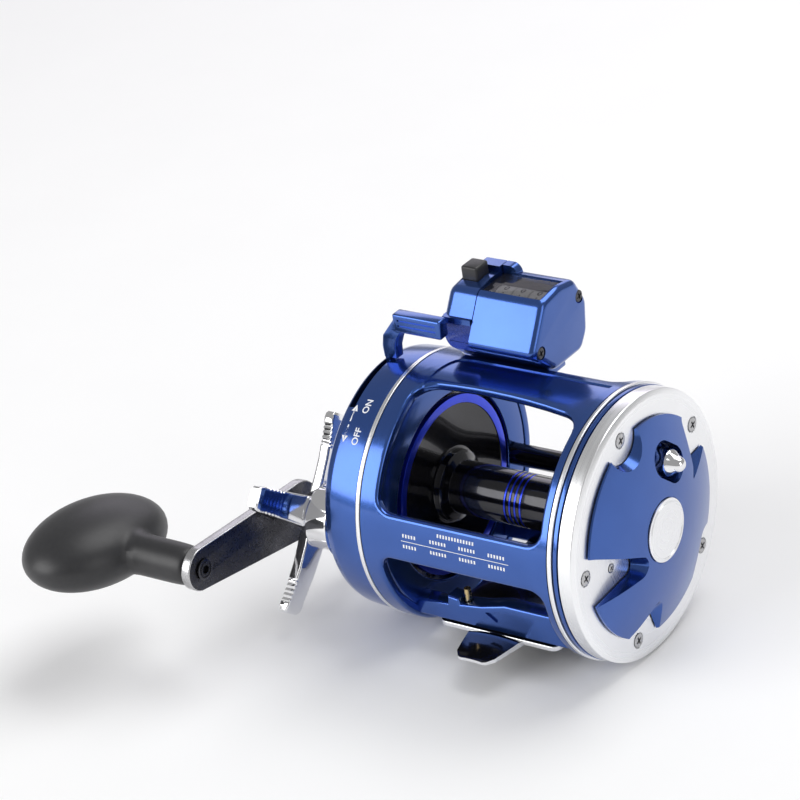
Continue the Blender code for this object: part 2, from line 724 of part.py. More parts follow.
def palm_dome():
    """A shallow shield over the plate, bitten away round the screws and by a long notch."""
    base = TRIM_FACE + GAP
    radii = [DOME_R * i / 5 for i in range(6)]
    profile = [(dome_surface(r), r) for r in radii] + [(base, DOME_R), (base, 0)]
    dome = turned("palm_dome", profile, "blue_anodised", steps=ROUND)
    bites = (
        (((47, 30.5), (35, 26.6), (27, 24.9), (24, 23.2), (19, 31.4)), 33.5, 1.1),
        (((-27, 31.2), (-30, 28.6), (-34, 27.3), (-43, 28.3), (-56, 31.2)), -41.0, 0.6),
        (((-95, 31.2), (-98, 28.0), (-101, 25.2), (-105, 24.6), (-116, 28.8), (-122, 31.5)), -109.5, 1.1),
    )
    for i, (bite, middle, slope) in enumerate(bites):
        outline = [polar(radius, degrees) for degrees, radius in bite]
        outline += [polar(40, degrees) for degrees, _ in reversed(bite)]
        cut(dome, bite_cutter(f"dome_bite_{i}", outline, polar(34, middle), slope))
    screw = [(36, 0), (36, 6.5), (TRIM_FACE, 6.5), (44, 11.0), (44, 0)]
    cut(dome, turned("dome_bite_top", screw, None, *polar(SCREW_CIRCLE, SCREW_ANGLES[1]), steps=ROUND))
    notch = [
        (-36, 8.6),
        (-28.5, 5.4),
        (-19.8, 0.9),
        (-11.8, -3.0),
        (-10.8, -5.4),
        (-12.3, -7.7),
        (-19.1, -8.0),
        (-36, -8.8),
    ]
    cut(dome, bite_cutter("dome_notch", notch, (-19.0, -3.5), 0.4))
    half_way = polar(CLICKER_TRAVEL / 2, CLICKER_ANGLE, *CLICKER)
    cut(dome, bite_cutter("dome_clicker_recess", clicker_path(4.75), half_way, 0.5))
    cut(dome, rod("dome_badge_seat", 42.1, 46, 9.25, None, steps=24))
    rod("badge", 42.4, 42.95, 8.95, "silver_satin", steps=24)


def clicker():
    y, z = CLICKER
    bullet = [
        (32.2, 0),
        (32.2, 1.3),
        (35.7, 1.3),
        (35.7, 3.9),
        (38.4, 3.9),
        (38.8, 3.2),
        (41.3, 2.9),
        (43.0, 2.1),
        (44.1, 1.1),
        (44.5, 0),
    ]
    turned("clicker_button", bullet, "chrome_plate", y, z, 16)
    tip_y, tip_z = CLICK_TIP
    finger = [
        (y - 2.4, z + 1.2),
        (y - 0.6, z - 6.0),
        (tip_y - 0.45, tip_z + 0.4),
        CLICK_TIP,
        (tip_y + 0.45, tip_z + 0.4),
        (y + 1.8, z - 6.0),
        (y + 2.4, z + 1.2),
        (y, z + 2.6),
    ]
    plate("click_pawl", [finger], 30.7, 31.8, "steel")


def foot():
    """A flat middle under the frame, and two thin leaves that the rod's hoods hold."""
    base = -AXIS_Z
    half_x, half_y = 19.75, 25.3
    middle = rounded([(-half_x, -half_y), (half_x, -half_y), (half_x, half_y), (-half_x, half_y)], 3.0)
    made = plate("foot", [middle], base, base + FOOT_THICKNESS, "black_anodised", turn=UPRIGHT)
    leaf = ((19, 9.0, 1.0), (25.3, 8.7, 1.0), (27, 8.3, 1.5), (32, 7.2, 1.3), (36, 6.2, 1.1), (38.5, 4.2, 0.9))
    for side in (-1, 1):
        sections = []
        for y, half, thick in leaf:
            top = [(half * math.cos(t), side * y, arch(half, t) + thick) for t in half_turn(7)]
            low = [(half * math.cos(t), side * y, arch(half, t)) for t in reversed(half_turn(7))]
            sections.append([(px, py, base + pz) for px, py, pz in top + low])
        join(made, loft(f"foot_leaf_{side}", sections, None, placed(0, 0, 0, UPRIGHT)))
    for (x, y), name in zip(FOOT_SCREWS, ("rear", "front")):
        cut(made, upright_rod(f"foot_bore_{name}", -40, -25, 1.3, None, x, y))
        cut(made, upright_rod(f"foot_seat_{name}", -40, base + 1.0, 2.2, None, x, y))
        head = [(base + 0.1, 0), (base + 0.1, 1.8), (base + 0.5, 1.8), (base + 0.9, 1.0)]
        screw = head + [(-17.8, 1.0), (-17.8, 0)]
        turned(f"foot_screw_{name}", screw, "brass", y, 0, 20, x, UPRIGHT)


def half_turn(count):
    return [math.pi * i / (count - 1) for i in range(count)]


def arch(half, turn_angle):
    """A leaf's underside, hollow along its middle."""
    return 0.55 * math.sin(turn_angle) ** 2 * half / 9.0


def star_wheel():
    hub = [
        (-66.6, 3.3),
        (-66.6, 6.2),
        (-66.0, 7.0),
        (-62.5, 9.0),
        (-62.0, 9.3),
        (-55.0, 9.3),
        (-54.5, 8.8),
        (-54.5, 4.8),
        (-43.7, 4.8),
        (-43.7, 3.3),
    ]
    star = turned("star_wheel", hub, "chrome_plate", SHAFT_Y, SHAFT_Z)
    shape = (
        (5.0, 4.6, -64.3, 3.6),
        (10.0, 4.3, -64.3, 3.5),
        (16.0, 4.0, -64.6, 3.4),
        (22.0, 3.8, -65.3, 3.4),
        (28.3, 3.5, -66.2, 3.3),
        (29.5, 2.7, -66.4, 2.8),
    )
    for i in range(4):
        sections = []
        for reach, half, x, thick in shape:
            section = []
            for side, face in ((-1, -1), (1, -1), (1, 1), (-1, 1)):
                section.append((side * half, reach, x + face * thick / 2))
            sections.append(section)
        turn = SIDEWAYS @ Matrix.Rotation(math.radians(STAR_ANGLE + 90 * i - 90), 4, "Z")
        arm = loft(f"star_arm_{i}", sections, None, placed(0, SHAFT_Y, SHAFT_Z, turn))
        join(star, arm)


def handle():
    degrees = math.degrees(CRANK_ANGLE)
    outline = [polar(8.8, degrees + 80 + 200 * i / 16, 0, 0) for i in range(17)]
    end = polar(CRANK_LENGTH, degrees)
    outline += [polar(6.35, degrees - 88 + 176 * i / 12, *end) for i in range(13)]
    outlines = [outline, circle(3.2), circle(1.9, 20, *end)]
    plate("handle_arm", outlines, *ARM_X, "steel", SHAFT_Y, SHAFT_Z)
    hexagon = [(-77.0, 0), (-77.0, 5.0), (-73.5, 5.6), (-73.5, 0)]
    nut = turned("handle_nut", hexagon, "steel", SHAFT_Y, SHAFT_Z, 6)
    cut(nut, rod("nut_bore", -76.3, -70, 3.2, None, SHAFT_Y, SHAFT_Z))
    spindle = [(-104, 0), (-104, 1.6), (-69.9, 1.6), (-69.9, 3.0), (-69.4, 3.0), (-69.4, 0)]
    turned("knob_spindle", spindle, "steel", KNOB_Y, KNOB_Z)


def knob():
    """An egg-shaped grip with its long way across the crank, on a round neck."""
    mesh = bpy.data.meshes.new("knob")
    ball = bmesh.new()
    bmesh.ops.create_uvsphere(ball, u_segments=24, v_segments=12, radius=1.0)
    bmesh.ops.scale(ball, vec=Vector(KNOB_SIZES) * MM, verts=ball.verts)
    bmesh.ops.rotate(ball, matrix=Matrix.Rotation(math.radians(-5.7), 3, "X"), verts=ball.verts)
    ball.to_mesh(mesh)
    ball.free()
    made = add("knob", mesh, "rubber", placed(KNOB_X, KNOB_Y, KNOB_Z, UPRIGHT))
    neck = [(-102.0, 0), (-98.0, 6.6), (-92.0, 6.1), (-75.0, 5.9), (-74.0, 5.6), (-73.8, 5.2), (-73.8, 0)]
    join(made, turned("knob_neck", neck, None, KNOB_Y, KNOB_Z))
    cut(made, rod("knob_bore", -104.5, -70, 1.95, None, KNOB_Y, KNOB_Z))


COUNTER_SECTION = (
    (10.7, COUNTER_BASE),
    (24.4, COUNTER_BASE),
    (28.0, 41.0),
    (29.3, 50.0),
    (24.8, 58.0),
    (17.0, 59.4),
    (8.6, 58.4),
    (0.3, 45.6),
    (3.4, 42.6),
)


def counter_shell(name, end, parting, corner):
    """One half of the counter's case, round at its end, hollow, and open at the parting."""
    away = math.copysign(1, parting - end)
    places = [(math.cos(t), math.sin(t)) for t in (math.pi / 4 * i for i in range(3))]
    rims = [(end + away * corner * (1 - c), corner * (1 - s)) for c, s in places] + [(parting, 0.0)]
    sections = []
    for x, inwards in rims:
        outline = rounded(inset(COUNTER_SECTION, inwards), 2.0 - 0.5 * inwards, 2)
        sections.append([(x, y, z) for y, z in outline])
    shell = loft(name, sections, "blue_anodised", placed(0, 0, 0, UPRIGHT))
    fin_x = (max(-23.5, min(end, parting)), min(-11.0, max(end, parting)))
    join(shell, block(name + "_fin", fin_x, (20.2, 24.2), (54.0, FIN_TOP), None))
    inner = sorted((end + away * COUNTER_WALL, parting + away))
    hollow = plate(name + "_hollow", [inset(COUNTER_SECTION, COUNTER_WALL)], *inner, None)
    return cut(shell, hollow)


def counter():
    x0, x1 = COUNTER_X
    body = counter_shell("counter_body", x1, x0, 2.0)
    cut(body, block("counter_window_opening", (x0 - 1, x1 - 1.8), (9.6, 21.4), (56.4, 62.0), None))
    for i, (y, z) in enumerate(((25.6, 52.4), (4.6, 44.9))):
        cut(body, rod(f"counter_screw_seat_{i}", x1 - 1.0, x1 + 1, 2.0, None, y, z))
    for name, y, z in (("upper", 25.6, 52.4), ("lower", 4.6, 44.9)):
        rod(f"counter_screw_{name}", x1 - 0.7, x1 - 0.1, 1.7, "steel", y, z, 20)
    g0, g1 = COUNTER_GEARBOX_X
    gearbox = counter_shell("counter_gearbox", g0, g1, 3.0)
    cut(gearbox, block("button_opening", (-24.3, -18.3), (12.7, 19.3), (56.5, 66.0), None))
    cut(gearbox, block("gearbox_undercut", (-30, -10), (-3, 4.4), (40, 50.2), None))
    wall = block("gearbox_undercut_wall", (g0 + 0.5, g1), (4.4, 6.0), (44.0, 51.8), None)
    floor = block("gearbox_undercut_roof", (g0 + 0.8, g1), (3.2, 6.0), (50.2, 51.8), None)
    join(gearbox, wall, floor)
    block("counter_window", (x0 + 0.3, x1 - 2.1), (9.9, 21.1), (57.5, 58.3), "window_smoke")
    block("reset_button", (-24.0, -18.6), (13.0, 19.0), (56.0, 62.8), "plastic_black", 0.5)
    middle = x0 + 2.2
    for name in ("hundreds", "tens", "ones"):
        ring(
            f"number_wheel_{name}", middle, middle + WHEEL_WIDTH, 1.6, WHEEL_R, "plastic_white", WHEEL_Y, WHEEL_Z
        )
        middle += WHEEL_WIDTH + 0.4
    rod("counter_shaft", -22.0, x1 - COUNTER_WALL - GAP, 1.3, "steel", WHEEL_Y, WHEEL_Z, 20)


frame()
accent_ring("accent_ring_left", -33.2)
accent_ring("accent_ring_right", 29.3)
handle_side_cover()
gear_bridge_plate()
drive_train()
anti_reverse_dog()
clutch()
free_spool_lever()
tension_cap()
spool()
level_wind()
palm_side_plate()
trim_ring()
palm_dome()
clicker()
foot()
star_wheel()
handle()
knob()
counter()
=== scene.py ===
"""Looks of the trolling reel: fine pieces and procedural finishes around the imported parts.

Lengths are millimetres unless a name says otherwise. X runs along the spool towards the
palm side, Y points forward and Z up. Places are given from the spool's axis, which
stands AXIS_Z above the underside of the foot.
"""

import json
import math

import bmesh
import bpy
from mathutils import Matrix, Vector

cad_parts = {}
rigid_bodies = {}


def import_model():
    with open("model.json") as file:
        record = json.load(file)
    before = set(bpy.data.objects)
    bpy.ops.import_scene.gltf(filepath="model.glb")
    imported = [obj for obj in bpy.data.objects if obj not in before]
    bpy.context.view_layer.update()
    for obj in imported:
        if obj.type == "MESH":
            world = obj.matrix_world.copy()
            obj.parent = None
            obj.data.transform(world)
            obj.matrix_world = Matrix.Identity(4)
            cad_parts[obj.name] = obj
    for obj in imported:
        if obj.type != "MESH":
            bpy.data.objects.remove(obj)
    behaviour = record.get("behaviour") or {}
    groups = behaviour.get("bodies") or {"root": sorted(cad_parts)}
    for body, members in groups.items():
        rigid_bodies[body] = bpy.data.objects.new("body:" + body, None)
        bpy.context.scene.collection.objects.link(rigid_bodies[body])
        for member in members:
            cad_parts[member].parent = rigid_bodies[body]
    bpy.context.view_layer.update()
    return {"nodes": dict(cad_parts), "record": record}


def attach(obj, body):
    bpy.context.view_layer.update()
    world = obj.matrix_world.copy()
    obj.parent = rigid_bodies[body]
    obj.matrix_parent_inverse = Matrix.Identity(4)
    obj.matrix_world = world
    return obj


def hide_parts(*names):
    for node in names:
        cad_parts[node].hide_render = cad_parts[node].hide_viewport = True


MM = 0.001
AXIS_Z = 30.1
FLOOR_Z = -8.6
CAMERA_PLACE = (462.11, -623.17, 462.19)
CAMERA_RIGHT = (0.8121, 0.5674, -0.1362)
CAMERA_UP = (-0.16298, 0.44472, 0.88072)
CAMERA_BACK = (0.56028, -0.69304, 0.45363)
CAMERA_LENS = 144
LIGHT_TARGET = (0, 0, 0.03)
WORLD_STRENGTH = 0.36
SIDEWAYS = Matrix(((0, 0, 1, 0), (1, 0, 0, 0), (0, 1, 0, 0), (0, 0, 0, 1)))
UPRIGHT = Matrix.Identity(4)
SIDE_ON = Matrix(((1, 0, 0, 0), (0, 0, -1, 0), (0, 1, 0, 0), (0, 0, 0, 1)))

# Round frame
FRAME_R = 38.4
FRAME_LEFT = (-31.6, -26.25)
FRAME_RIGHT = (26.5, 29.0)
SHELL_INNER_R = 35.2
SHELL_EDGE = 1.0
ARC = math.radians(1) * FRAME_R
PANEL_DEPTH = 0.45
TOP_BAR = 89.4
REAR_BAR = 173.5

# Handle side
COVER_R = 37.6
SHAFT_Y, SHAFT_Z = -16.8, -8.6
STAR_ANGLE = 53.0
CRANK_LENGTH = 45.0
CRANK_DEGREES = 173.0
KNOB_CENTRE_X = -109.6
KNOB_SIZES = (17.4, 24.6, 11.1)
KNOB_NECK_R = 5.9
KNOB_NECK_END = -73.8

# Palm side
TRIM_R = 38.0
TRIM_FACE = 37.05
DOME_R = 31.0
DOME_CROWN = 42.9
DOME_DROP = 4.9
SCREW_CIRCLE = 32.0
SCREW_ANGLES = (33.5, 105.5, 177.5, 249.5, 321.5)
CLICKER = (9.7, 15.2)
CLICKER_TRAVEL = 5.0
CLICKER_DEGREES = 140.0

# Spool and level wind
FLANGE_R = 26.0
ARBOR_R = 7.7
WORM_Y, WORM_Z = 29.3, -5.2
GUIDE_X = 14.0

# Line counter
COUNTER_X = (-15.6, 5.75)
GEARBOX_X = (-26.0, -15.9)
COUNTER_BASE = 36.4
COUNTER_WALL = 1.6
FIN_TOP = 60.6
WHEEL_R = 5.0
WHEEL_WIDTH = 5.0
WHEEL_Y, WHEEL_Z = 15.5, 52.0
COUNTER_SECTION = (
    (10.7, COUNTER_BASE),
    (24.4, COUNTER_BASE),
    (28.0, 41.0),
    (29.3, 50.0),
    (24.8, 58.0),
    (17.0, 59.4),
    (8.6, 58.4),
    (0.3, 45.6),
    (3.4, 42.6),
)

FOOT_SCREWS = ((-10.3, -22.25), (10.3, 22.25))

for old in list(bpy.data.objects):
    bpy.data.objects.remove(old)

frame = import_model()
BODY_OF = {
    node: body
    for body, nodes in frame["record"]["behaviour"]["bodies"].items()
    for node in nodes
}
SLOT_OF = {part["node"]: part["material_slot"] for part in frame["record"]["subparts"]}


# ---- Finishes ----


class Finish:
    """A Principled material with its nodes kept at hand."""

    def __init__(self, name, colour, metallic, roughness, **sockets):
        self.material = bpy.data.materials.new(name)
        self.material.use_nodes = True
        self.tree = self.material.node_tree
        self.shader = self.tree.nodes["Principled BSDF"]
        self.colour = colour
        self.roughness = roughness
        self.shader.inputs["Base Color"].default_value = (*colour, 1)
        self.shader.inputs["Metallic"].default_value = metallic
        self.shader.inputs["Roughness"].default_value = roughness
        for socket, value in sockets.items():
            self.shader.inputs[socket.replace("_", " ")].default_value = value

    def node(self, kind, **settings):
        made = self.tree.nodes.new(kind)
        for key, value in settings.items():
            setattr(made, key, value)
        return made

    def link(self, source, target):
        self.tree.links.new(source, target)

    def grain(self, size, stretch=(1, 1, 1), detail=3.0):
        """Noise whose blobs are about the given size, stretched along each axis."""
        place = self.node("ShaderNodeTexCoord")
        mapping = self.node("ShaderNodeMapping")
        mapping.inputs["Scale"].default_value = [1 / (size * MM * s) for s in stretch]
        made = self.node("ShaderNodeTexNoise")
        made.inputs["Scale"].default_value = 1.0
        made.inputs["Detail"].default_value = detail
        self.link(place.outputs["Object"], mapping.inputs["Vector"])
        self.link(mapping.outputs["Vector"], made.inputs["Vector"])
        return made.outputs["Fac"]

    def rings(self, size, y, z):
        """Fine turning marks: noise that changes only with the distance from an axis along X and along it."""
        place = self.node("ShaderNodeTexCoord")
        apart = self.node("ShaderNodeVectorMath", operation="SUBTRACT")
        apart.inputs[1].default_value = Vector((0, y, z + AXIS_Z)) * MM
        split = self.node("ShaderNodeSeparateXYZ")
        flat = self.node("ShaderNodeCombineXYZ")
        reach = self.node("ShaderNodeVectorMath", operation="LENGTH")
        joined = self.node("ShaderNodeCombineXYZ")
        made = self.node("ShaderNodeTexNoise")
        made.inputs["Scale"].default_value = 1 / (size * MM)
        made.inputs["Detail"].default_value = 2.0
        self.link(place.outputs["Object"], apart.inputs[0])
        self.link(apart.outputs["Vector"], split.inputs["Vector"])
        self.link(split.outputs["Y"], flat.inputs["Y"])
        self.link(split.outputs["Z"], flat.inputs["Z"])
        self.link(flat.outputs["Vector"], reach.inputs[0])
        self.link(split.outputs["X"], joined.inputs["X"])
        self.link(reach.outputs["Value"], joined.inputs["Y"])
        self.link(joined.outputs["Vector"], made.inputs["Vector"])
        return made.outputs["Fac"]

    def vary_roughness(self, pattern, spread):
        scale = self.node("ShaderNodeMapRange")
        scale.inputs["From Min"].default_value = 0.25
        scale.inputs["From Max"].default_value = 0.75
        scale.inputs["To Min"].default_value = max(self.roughness - spread, 0.02)
        scale.inputs["To Max"].default_value = self.roughness + spread
        self.link(pattern, scale.inputs["Value"])
        self.link(scale.outputs["Result"], self.shader.inputs["Roughness"])

    def vary_colour(self, pattern, other, low=0.3, high=0.7):
        ramp = self.node("ShaderNodeValToRGB")
        ramp.color_ramp.elements[0].position = low
        ramp.color_ramp.elements[0].color = (*self.colour, 1)
        ramp.color_ramp.elements[1].position = high
        ramp.color_ramp.elements[1].color = (*other, 1)
        self.link(pattern, ramp.inputs["Fac"])
        self.link(ramp.outputs["Color"], self.shader.inputs["Base Color"])

    def bump(self, pattern, height, strength=1.0):
        made = self.node("ShaderNodeBump")
        made.inputs["Distance"].default_value = height * MM
        made.inputs["Strength"].default_value = strength
        self.link(pattern, made.inputs["Height"])
        self.link(made.outputs["Normal"], self.shader.inputs["Normal"])


def anodised(name, colour, other, roughness):
    """Bright-dipped anodised aluminium: a clear dyed skin with a very fine orange peel."""
    made = Finish(name, colour, 0.9, roughness, Coat_Weight=0.5, Coat_Roughness=0.1)
    made.vary_roughness(made.grain(0.7), 0.03)
    made.vary_colour(made.grain(9.0), other)
    made.bump(made.grain(0.5), 0.001, 0.3)
    return made.material


def turned_metal(name, colour, other, roughness, y, z, height=0.004):
    made = Finish(name, colour, 1.0, roughness)
    marks = made.rings(0.35, y, z)
    made.vary_roughness(marks, 0.06)
    made.vary_colour(made.grain(12.0), other)
    made.bump(marks, height, 0.6)
    return made.material


def cast_metal(name, colour, other, roughness, grain, height, metallic=1.0, **sockets):
    made = Finish(name, colour, metallic, roughness, **sockets)
    pattern = made.grain(grain)
    made.vary_roughness(pattern, roughness * 0.25)
    made.vary_colour(made.grain(grain * 12), other)
    made.bump(pattern, height, 0.6)
    return made.material


def moulded(name, colour, other, roughness, grain, height, **sockets):
    made = Finish(name, colour, 0.0, roughness, **sockets)
    pattern = made.grain(grain, detail=4.0)
    made.vary_roughness(pattern, 0.08)
    made.vary_colour(made.grain(grain * 9), other)
    made.bump(pattern, height, 0.8)
    return made.material


def smoked(name):
    made = Finish(name, (0.02, 0.02, 0.025), 0.0, 0.05, Alpha=0.35)
    made.vary_roughness(made.grain(1.5), 0.02)
    made.vary_colour(made.grain(6.0), (0.03, 0.03, 0.035))
    return made.material


PAINTS = {
    "blue_anodised": anodised("blue_anodised", (0.042, 0.112, 0.4), (0.038, 0.102, 0.37), 0.2),
    # blue_dark is a darker copy of the blue anodising, used as painted shade on the counter gearbox's undercut
    # walls and roof.
    "blue_dark": anodised("blue_dark", (0.02, 0.045, 0.24), (0.017, 0.038, 0.2), 0.28),
    "royal_blue": anodised("royal_blue", (0.02, 0.06, 0.8), (0.018, 0.05, 0.7), 0.3),
    "silver_satin": turned_metal("silver_satin", (0.93, 0.935, 0.95), (0.9, 0.905, 0.92), 0.3, 0, 0, 0.0012),
    "chrome_plate": cast_metal("chrome_plate", (0.88, 0.88, 0.89), (0.84, 0.84, 0.86), 0.09, 1.2, 0.003),
    "black_anodised": cast_metal(
        "black_anodised", (0.012, 0.012, 0.016), (0.02, 0.02, 0.026), 0.16, 0.6, 0.002, 0.75, Coat_Weight=0.6
    ),
    "steel": cast_metal("steel", (0.52, 0.52, 0.53), (0.44, 0.44, 0.45), 0.28, 0.5, 0.003),
    "steel_dark": cast_metal("steel_dark", (0.1, 0.1, 0.11), (0.07, 0.07, 0.08), 0.3, 0.5, 0.003),
    "brass": cast_metal("brass", (0.78, 0.6, 0.3), (0.7, 0.52, 0.25), 0.25, 0.5, 0.003),
    "rubber": moulded("rubber", (0.022, 0.022, 0.024), (0.018, 0.018, 0.02), 0.42, 0.18, 0.008),
    "plastic_black": moulded("plastic_black", (0.014, 0.014, 0.016), (0.02, 0.02, 0.023), 0.42, 0.3, 0.01),
    "plastic_white": moulded("plastic_white", (0.62, 0.62, 0.62), (0.56, 0.56, 0.57), 0.35, 0.5, 0.004),
    "fibre": moulded("fibre", (0.2, 0.11, 0.05), (0.13, 0.07, 0.03), 0.8, 0.3, 0.03),
    "window_smoke": smoked("window_smoke"),
    "mark_white": moulded("mark_white", (0.85, 0.86, 0.88), (0.78, 0.79, 0.82), 0.5, 0.3, 0.002),
    "digit_black": moulded("digit_black", (0.012, 0.012, 0.014), (0.02, 0.02, 0.02), 0.5, 0.3, 0.002),
}
PAINTS["black_turned"] = turned_metal("black_turned", (0.02, 0.02, 0.024), (0.03, 0.03, 0.035), 0.2, 0, 0, 0.01)


# ---- Shapes ----


def placed(x, y, z, turn=SIDEWAYS):
    """The matrix from a piece's own millimetres to the scene."""
    return Matrix.Translation(Vector((x, y, z + AXIS_Z)) * MM) @ turn @ Matrix.Scale(MM, 4)


def made_of(name, skin, place):
    bmesh.ops.recalc_face_normals(skin, faces=skin.faces)
    if skin.calc_volume(signed=True) < 0:
        bmesh.ops.reverse_faces(skin, faces=skin.faces)
    mesh = bpy.data.meshes.new(name)
    skin.to_mesh(mesh)
    skin.free()
    mesh.transform(place)
    made = bpy.data.objects.new(name, mesh)
    bpy.context.scene.collection.objects.link(made)
    return made


def polar(radius, degrees, y=0.0, z=0.0):
    return y + radius * math.cos(math.radians(degrees)), z + radius * math.sin(math.radians(degrees))


def circle(radius, count=64, y=0.0, z=0.0):
    return [polar(radius, 360 * i / count, y, z) for i in range(count)]


def eased(points, radius, closed=True, steps=3):
    """A run of points with every corner eased into a short curve."""
    outline = []
    last = len(points) - 1
    for i, corner in enumerate(points):
        if not closed and i in (0, last):
            outline.append(tuple(corner))
            continue
        here = Vector(corner)
        back = Vector(points[i - 1]) - here
        ahead = Vector(points[(i + 1) % len(points)]) - here
        reach = min(radius, 0.45 * back.length, 0.45 * ahead.length)
        start = here + back.normalized() * reach
        end = here + ahead.normalized() * reach
        for step in range(steps + 1):
            u = step / steps
            outline.append(tuple(start * (1 - u) ** 2 + here * 2 * u * (1 - u) + end * u**2))
    return outline


def inset(points, distance):
    """A convex outline, given anticlockwise, moved inwards by a distance."""
    outline = []
    for i, corner in enumerate(points):
        here = Vector(corner)
        back = (Vector(points[i - 1]) - here).normalized()
        ahead = (Vector(points[(i + 1) % len(points)]) - here).normalized()
        half = back.angle(ahead) / 2
        outline.append(tuple(here + (back + ahead).normalized() * (distance / math.sin(half))))
    return outline


def turned(name, profile, y=0.0, z=0.0, steps=128, ease=0.0, x=0.0, turn=SIDEWAYS, wave=None):
    """A shape turned about its own axis, from (along, radius) points.

    wave is a function of the place along, the radius and the turn that gives a new radius.
    """
    solid = profile[0][1] == 0 and profile[-1][1] == 0
    points = eased(profile, ease, closed=not solid) if ease else profile
    skin = bmesh.new()
    rows = []
    for along, radius in points:
        count = 1 if radius < 1e-6 else steps
        row = []
        for i in range(count):
            angle = 2 * math.pi * i / steps
            reach = wave(along, radius, angle) if wave and count > 1 else radius
            row.append(skin.verts.new((reach * math.cos(angle), reach * math.sin(angle), along)))
        rows.append(row)
    pairs = list(zip(rows, rows[1:]))
    if not solid:
        pairs.append((rows[-1], rows[0]))
    for low, high in pairs:
        for i in range(steps):
            near = [low[i % len(low)], low[(i + 1) % len(low)]]
            far = [high[(i + 1) % len(high)], high[i % len(high)]]
            corners = list(dict.fromkeys(near + far))
            if len(corners) > 2:
                skin.faces.new(corners)
    return made_of(name, skin, placed(x, y, z, turn))


def flat_skin(name, outlines, x0, x1, bevel=0.0):
    """The skin of a flat piece between x0 and x1, its edges rounded by the bevel."""
    curve = bpy.data.curves.new(name, "CURVE")
    curve.dimensions = "2D"
    curve.fill_mode = "BOTH"
    curve.extrude = (x1 - x0) / 2 - bevel
    curve.bevel_depth = bevel
    curve.bevel_resolution = 3
    curve.offset = -bevel
    for outline in outlines:
        spline = curve.splines.new("POLY")
        spline.points.add(len(outline) - 1)
        for point, (u, v) in zip(spline.points, outline):
            point.co = (u, v, 0, 1)
        spline.use_cyclic_u = True
    guide = bpy.data.objects.new(name + "_outline", curve)
    bpy.context.scene.collection.objects.link(guide)
    graph = bpy.context.evaluated_depsgraph_get()
    mesh = bpy.data.meshes.new_from_object(guide.evaluated_get(graph))
    bpy.data.objects.remove(guide)
    skin = bmesh.new()
    skin.from_mesh(mesh)
    bpy.data.meshes.remove(mesh)
    bmesh.ops.remove_doubles(skin, verts=skin.verts, dist=0.001)
    bmesh.ops.translate(skin, verts=skin.verts, vec=(0, 0, (x0 + x1) / 2))
    return skin


def plate(name, outlines, x0, x1, bevel=0.0, y=0.0, z=0.0, turn=SIDEWAYS):
    return made_of(name, flat_skin(name, outlines, x0, x1, bevel), placed(0, y, z, turn))


def block(name, x, y, z, bevel=0.0, segments=3):
    """A box between two values on each axis, with its edges rounded."""
    sizes = [pair[1] - pair[0] for pair in (x, y, z)]
    middle = [(pair[0] + pair[1]) / 2 for pair in (x, y, z)]
    skin = bmesh.new()
    bmesh.ops.create_cube(skin, size=1.0, matrix=Matrix.Diagonal((*sizes, 1)))
    if bevel:
        bmesh.ops.bevel(
            skin,
            geom=skin.edges[:],
            offset=bevel,
            segments=segments,
            profile=0.5,
            affect="EDGES",
        )
    return made_of(name, skin, placed(*middle, UPRIGHT))


def loft(name, sections, place, capped=True):
    """A skin over sections that have the same number of points."""
    skin = bmesh.new()
    rows = [[skin.verts.new(point) for point in section] for section in sections]
    for low, high in zip(rows, rows[1:]):
        for i in range(len(low)):
            skin.faces.new((low[i - 1], low[i], high[i], high[i - 1]))
    if capped:
        skin.faces.new(rows[0])
        skin.faces.new(rows[-1][::-1])
    return made_of(name, skin, place)


def rod(name, x0, x1, radius, y=0.0, z=0.0, steps=64):
    return turned(name, [(x0, 0), (x0, radius), (x1, radius), (x1, 0)], y, z, steps)


def upright_rod(name, z0, z1, radius, x, y, steps=48):
    return turned(name, [(z0, 0), (z0, radius), (z1, radius), (z1, 0)], y, 0, steps, x=x, turn=UPRIGHT)


def capsule(start, end, radius, count=48):
    """An oblong outline around a straight line."""
    along = math.degrees(math.atan2(end[1] - start[1], end[0] - start[0]))
    half = count // 2
    outline = [polar(radius, along - 90 + 180 * i / half, *end) for i in range(half + 1)]
    return outline + [polar(radius, along + 90 + 180 * i / half, *start) for i in range(half + 1)]


def sector(inner, outer, start, end, count):
    angles = [start + (end - start) * i / count for i in range(count + 1)]
    return [polar(outer, a) for a in angles] + [polar(inner, a) for a in reversed(angles)]


def bake(made):
    """Fixes a piece's modifiers into its mesh."""
    graph = bpy.context.evaluated_depsgraph_get()
    mesh = bpy.data.meshes.new_from_object(made.evaluated_get(graph))
    old = made.data
    made.modifiers.clear()
    made.data = mesh
    bpy.data.meshes.remove(old)
    return made


def combine(made, others, how):
    for other in others:
        boolean = made.modifiers.new(how.title(), "BOOLEAN")
        boolean.operation = how
        boolean.object = other
    bake(made)
    for other in others:
        bpy.data.objects.remove(other)
    return made


def cut(made, *others):
    return combine(made, others, "DIFFERENCE")


def join(made, *others):
    return combine(made, others, "UNION")


def gathered(name, parts):
    """Several shapes as one piece, each with its own material."""
    skin = bmesh.new()
    materials = []
    for part in parts:
        offset = len(materials)
        materials += list(part.data.materials) or [None]
        first = len(skin.faces)
        skin.from_mesh(part.data)
        skin.faces.ensure_lookup_table()
        for face in skin.faces[first:]:
            face.material_index += offset
        bpy.data.objects.remove(part)
    mesh = bpy.data.meshes.new(name)
    skin.to_mesh(mesh)
    skin.free()
    for material in materials:
        mesh.materials.append(material)
    made = bpy.data.objects.new(name, mesh)
    bpy.context.scene.collection.objects.link(made)
    return made


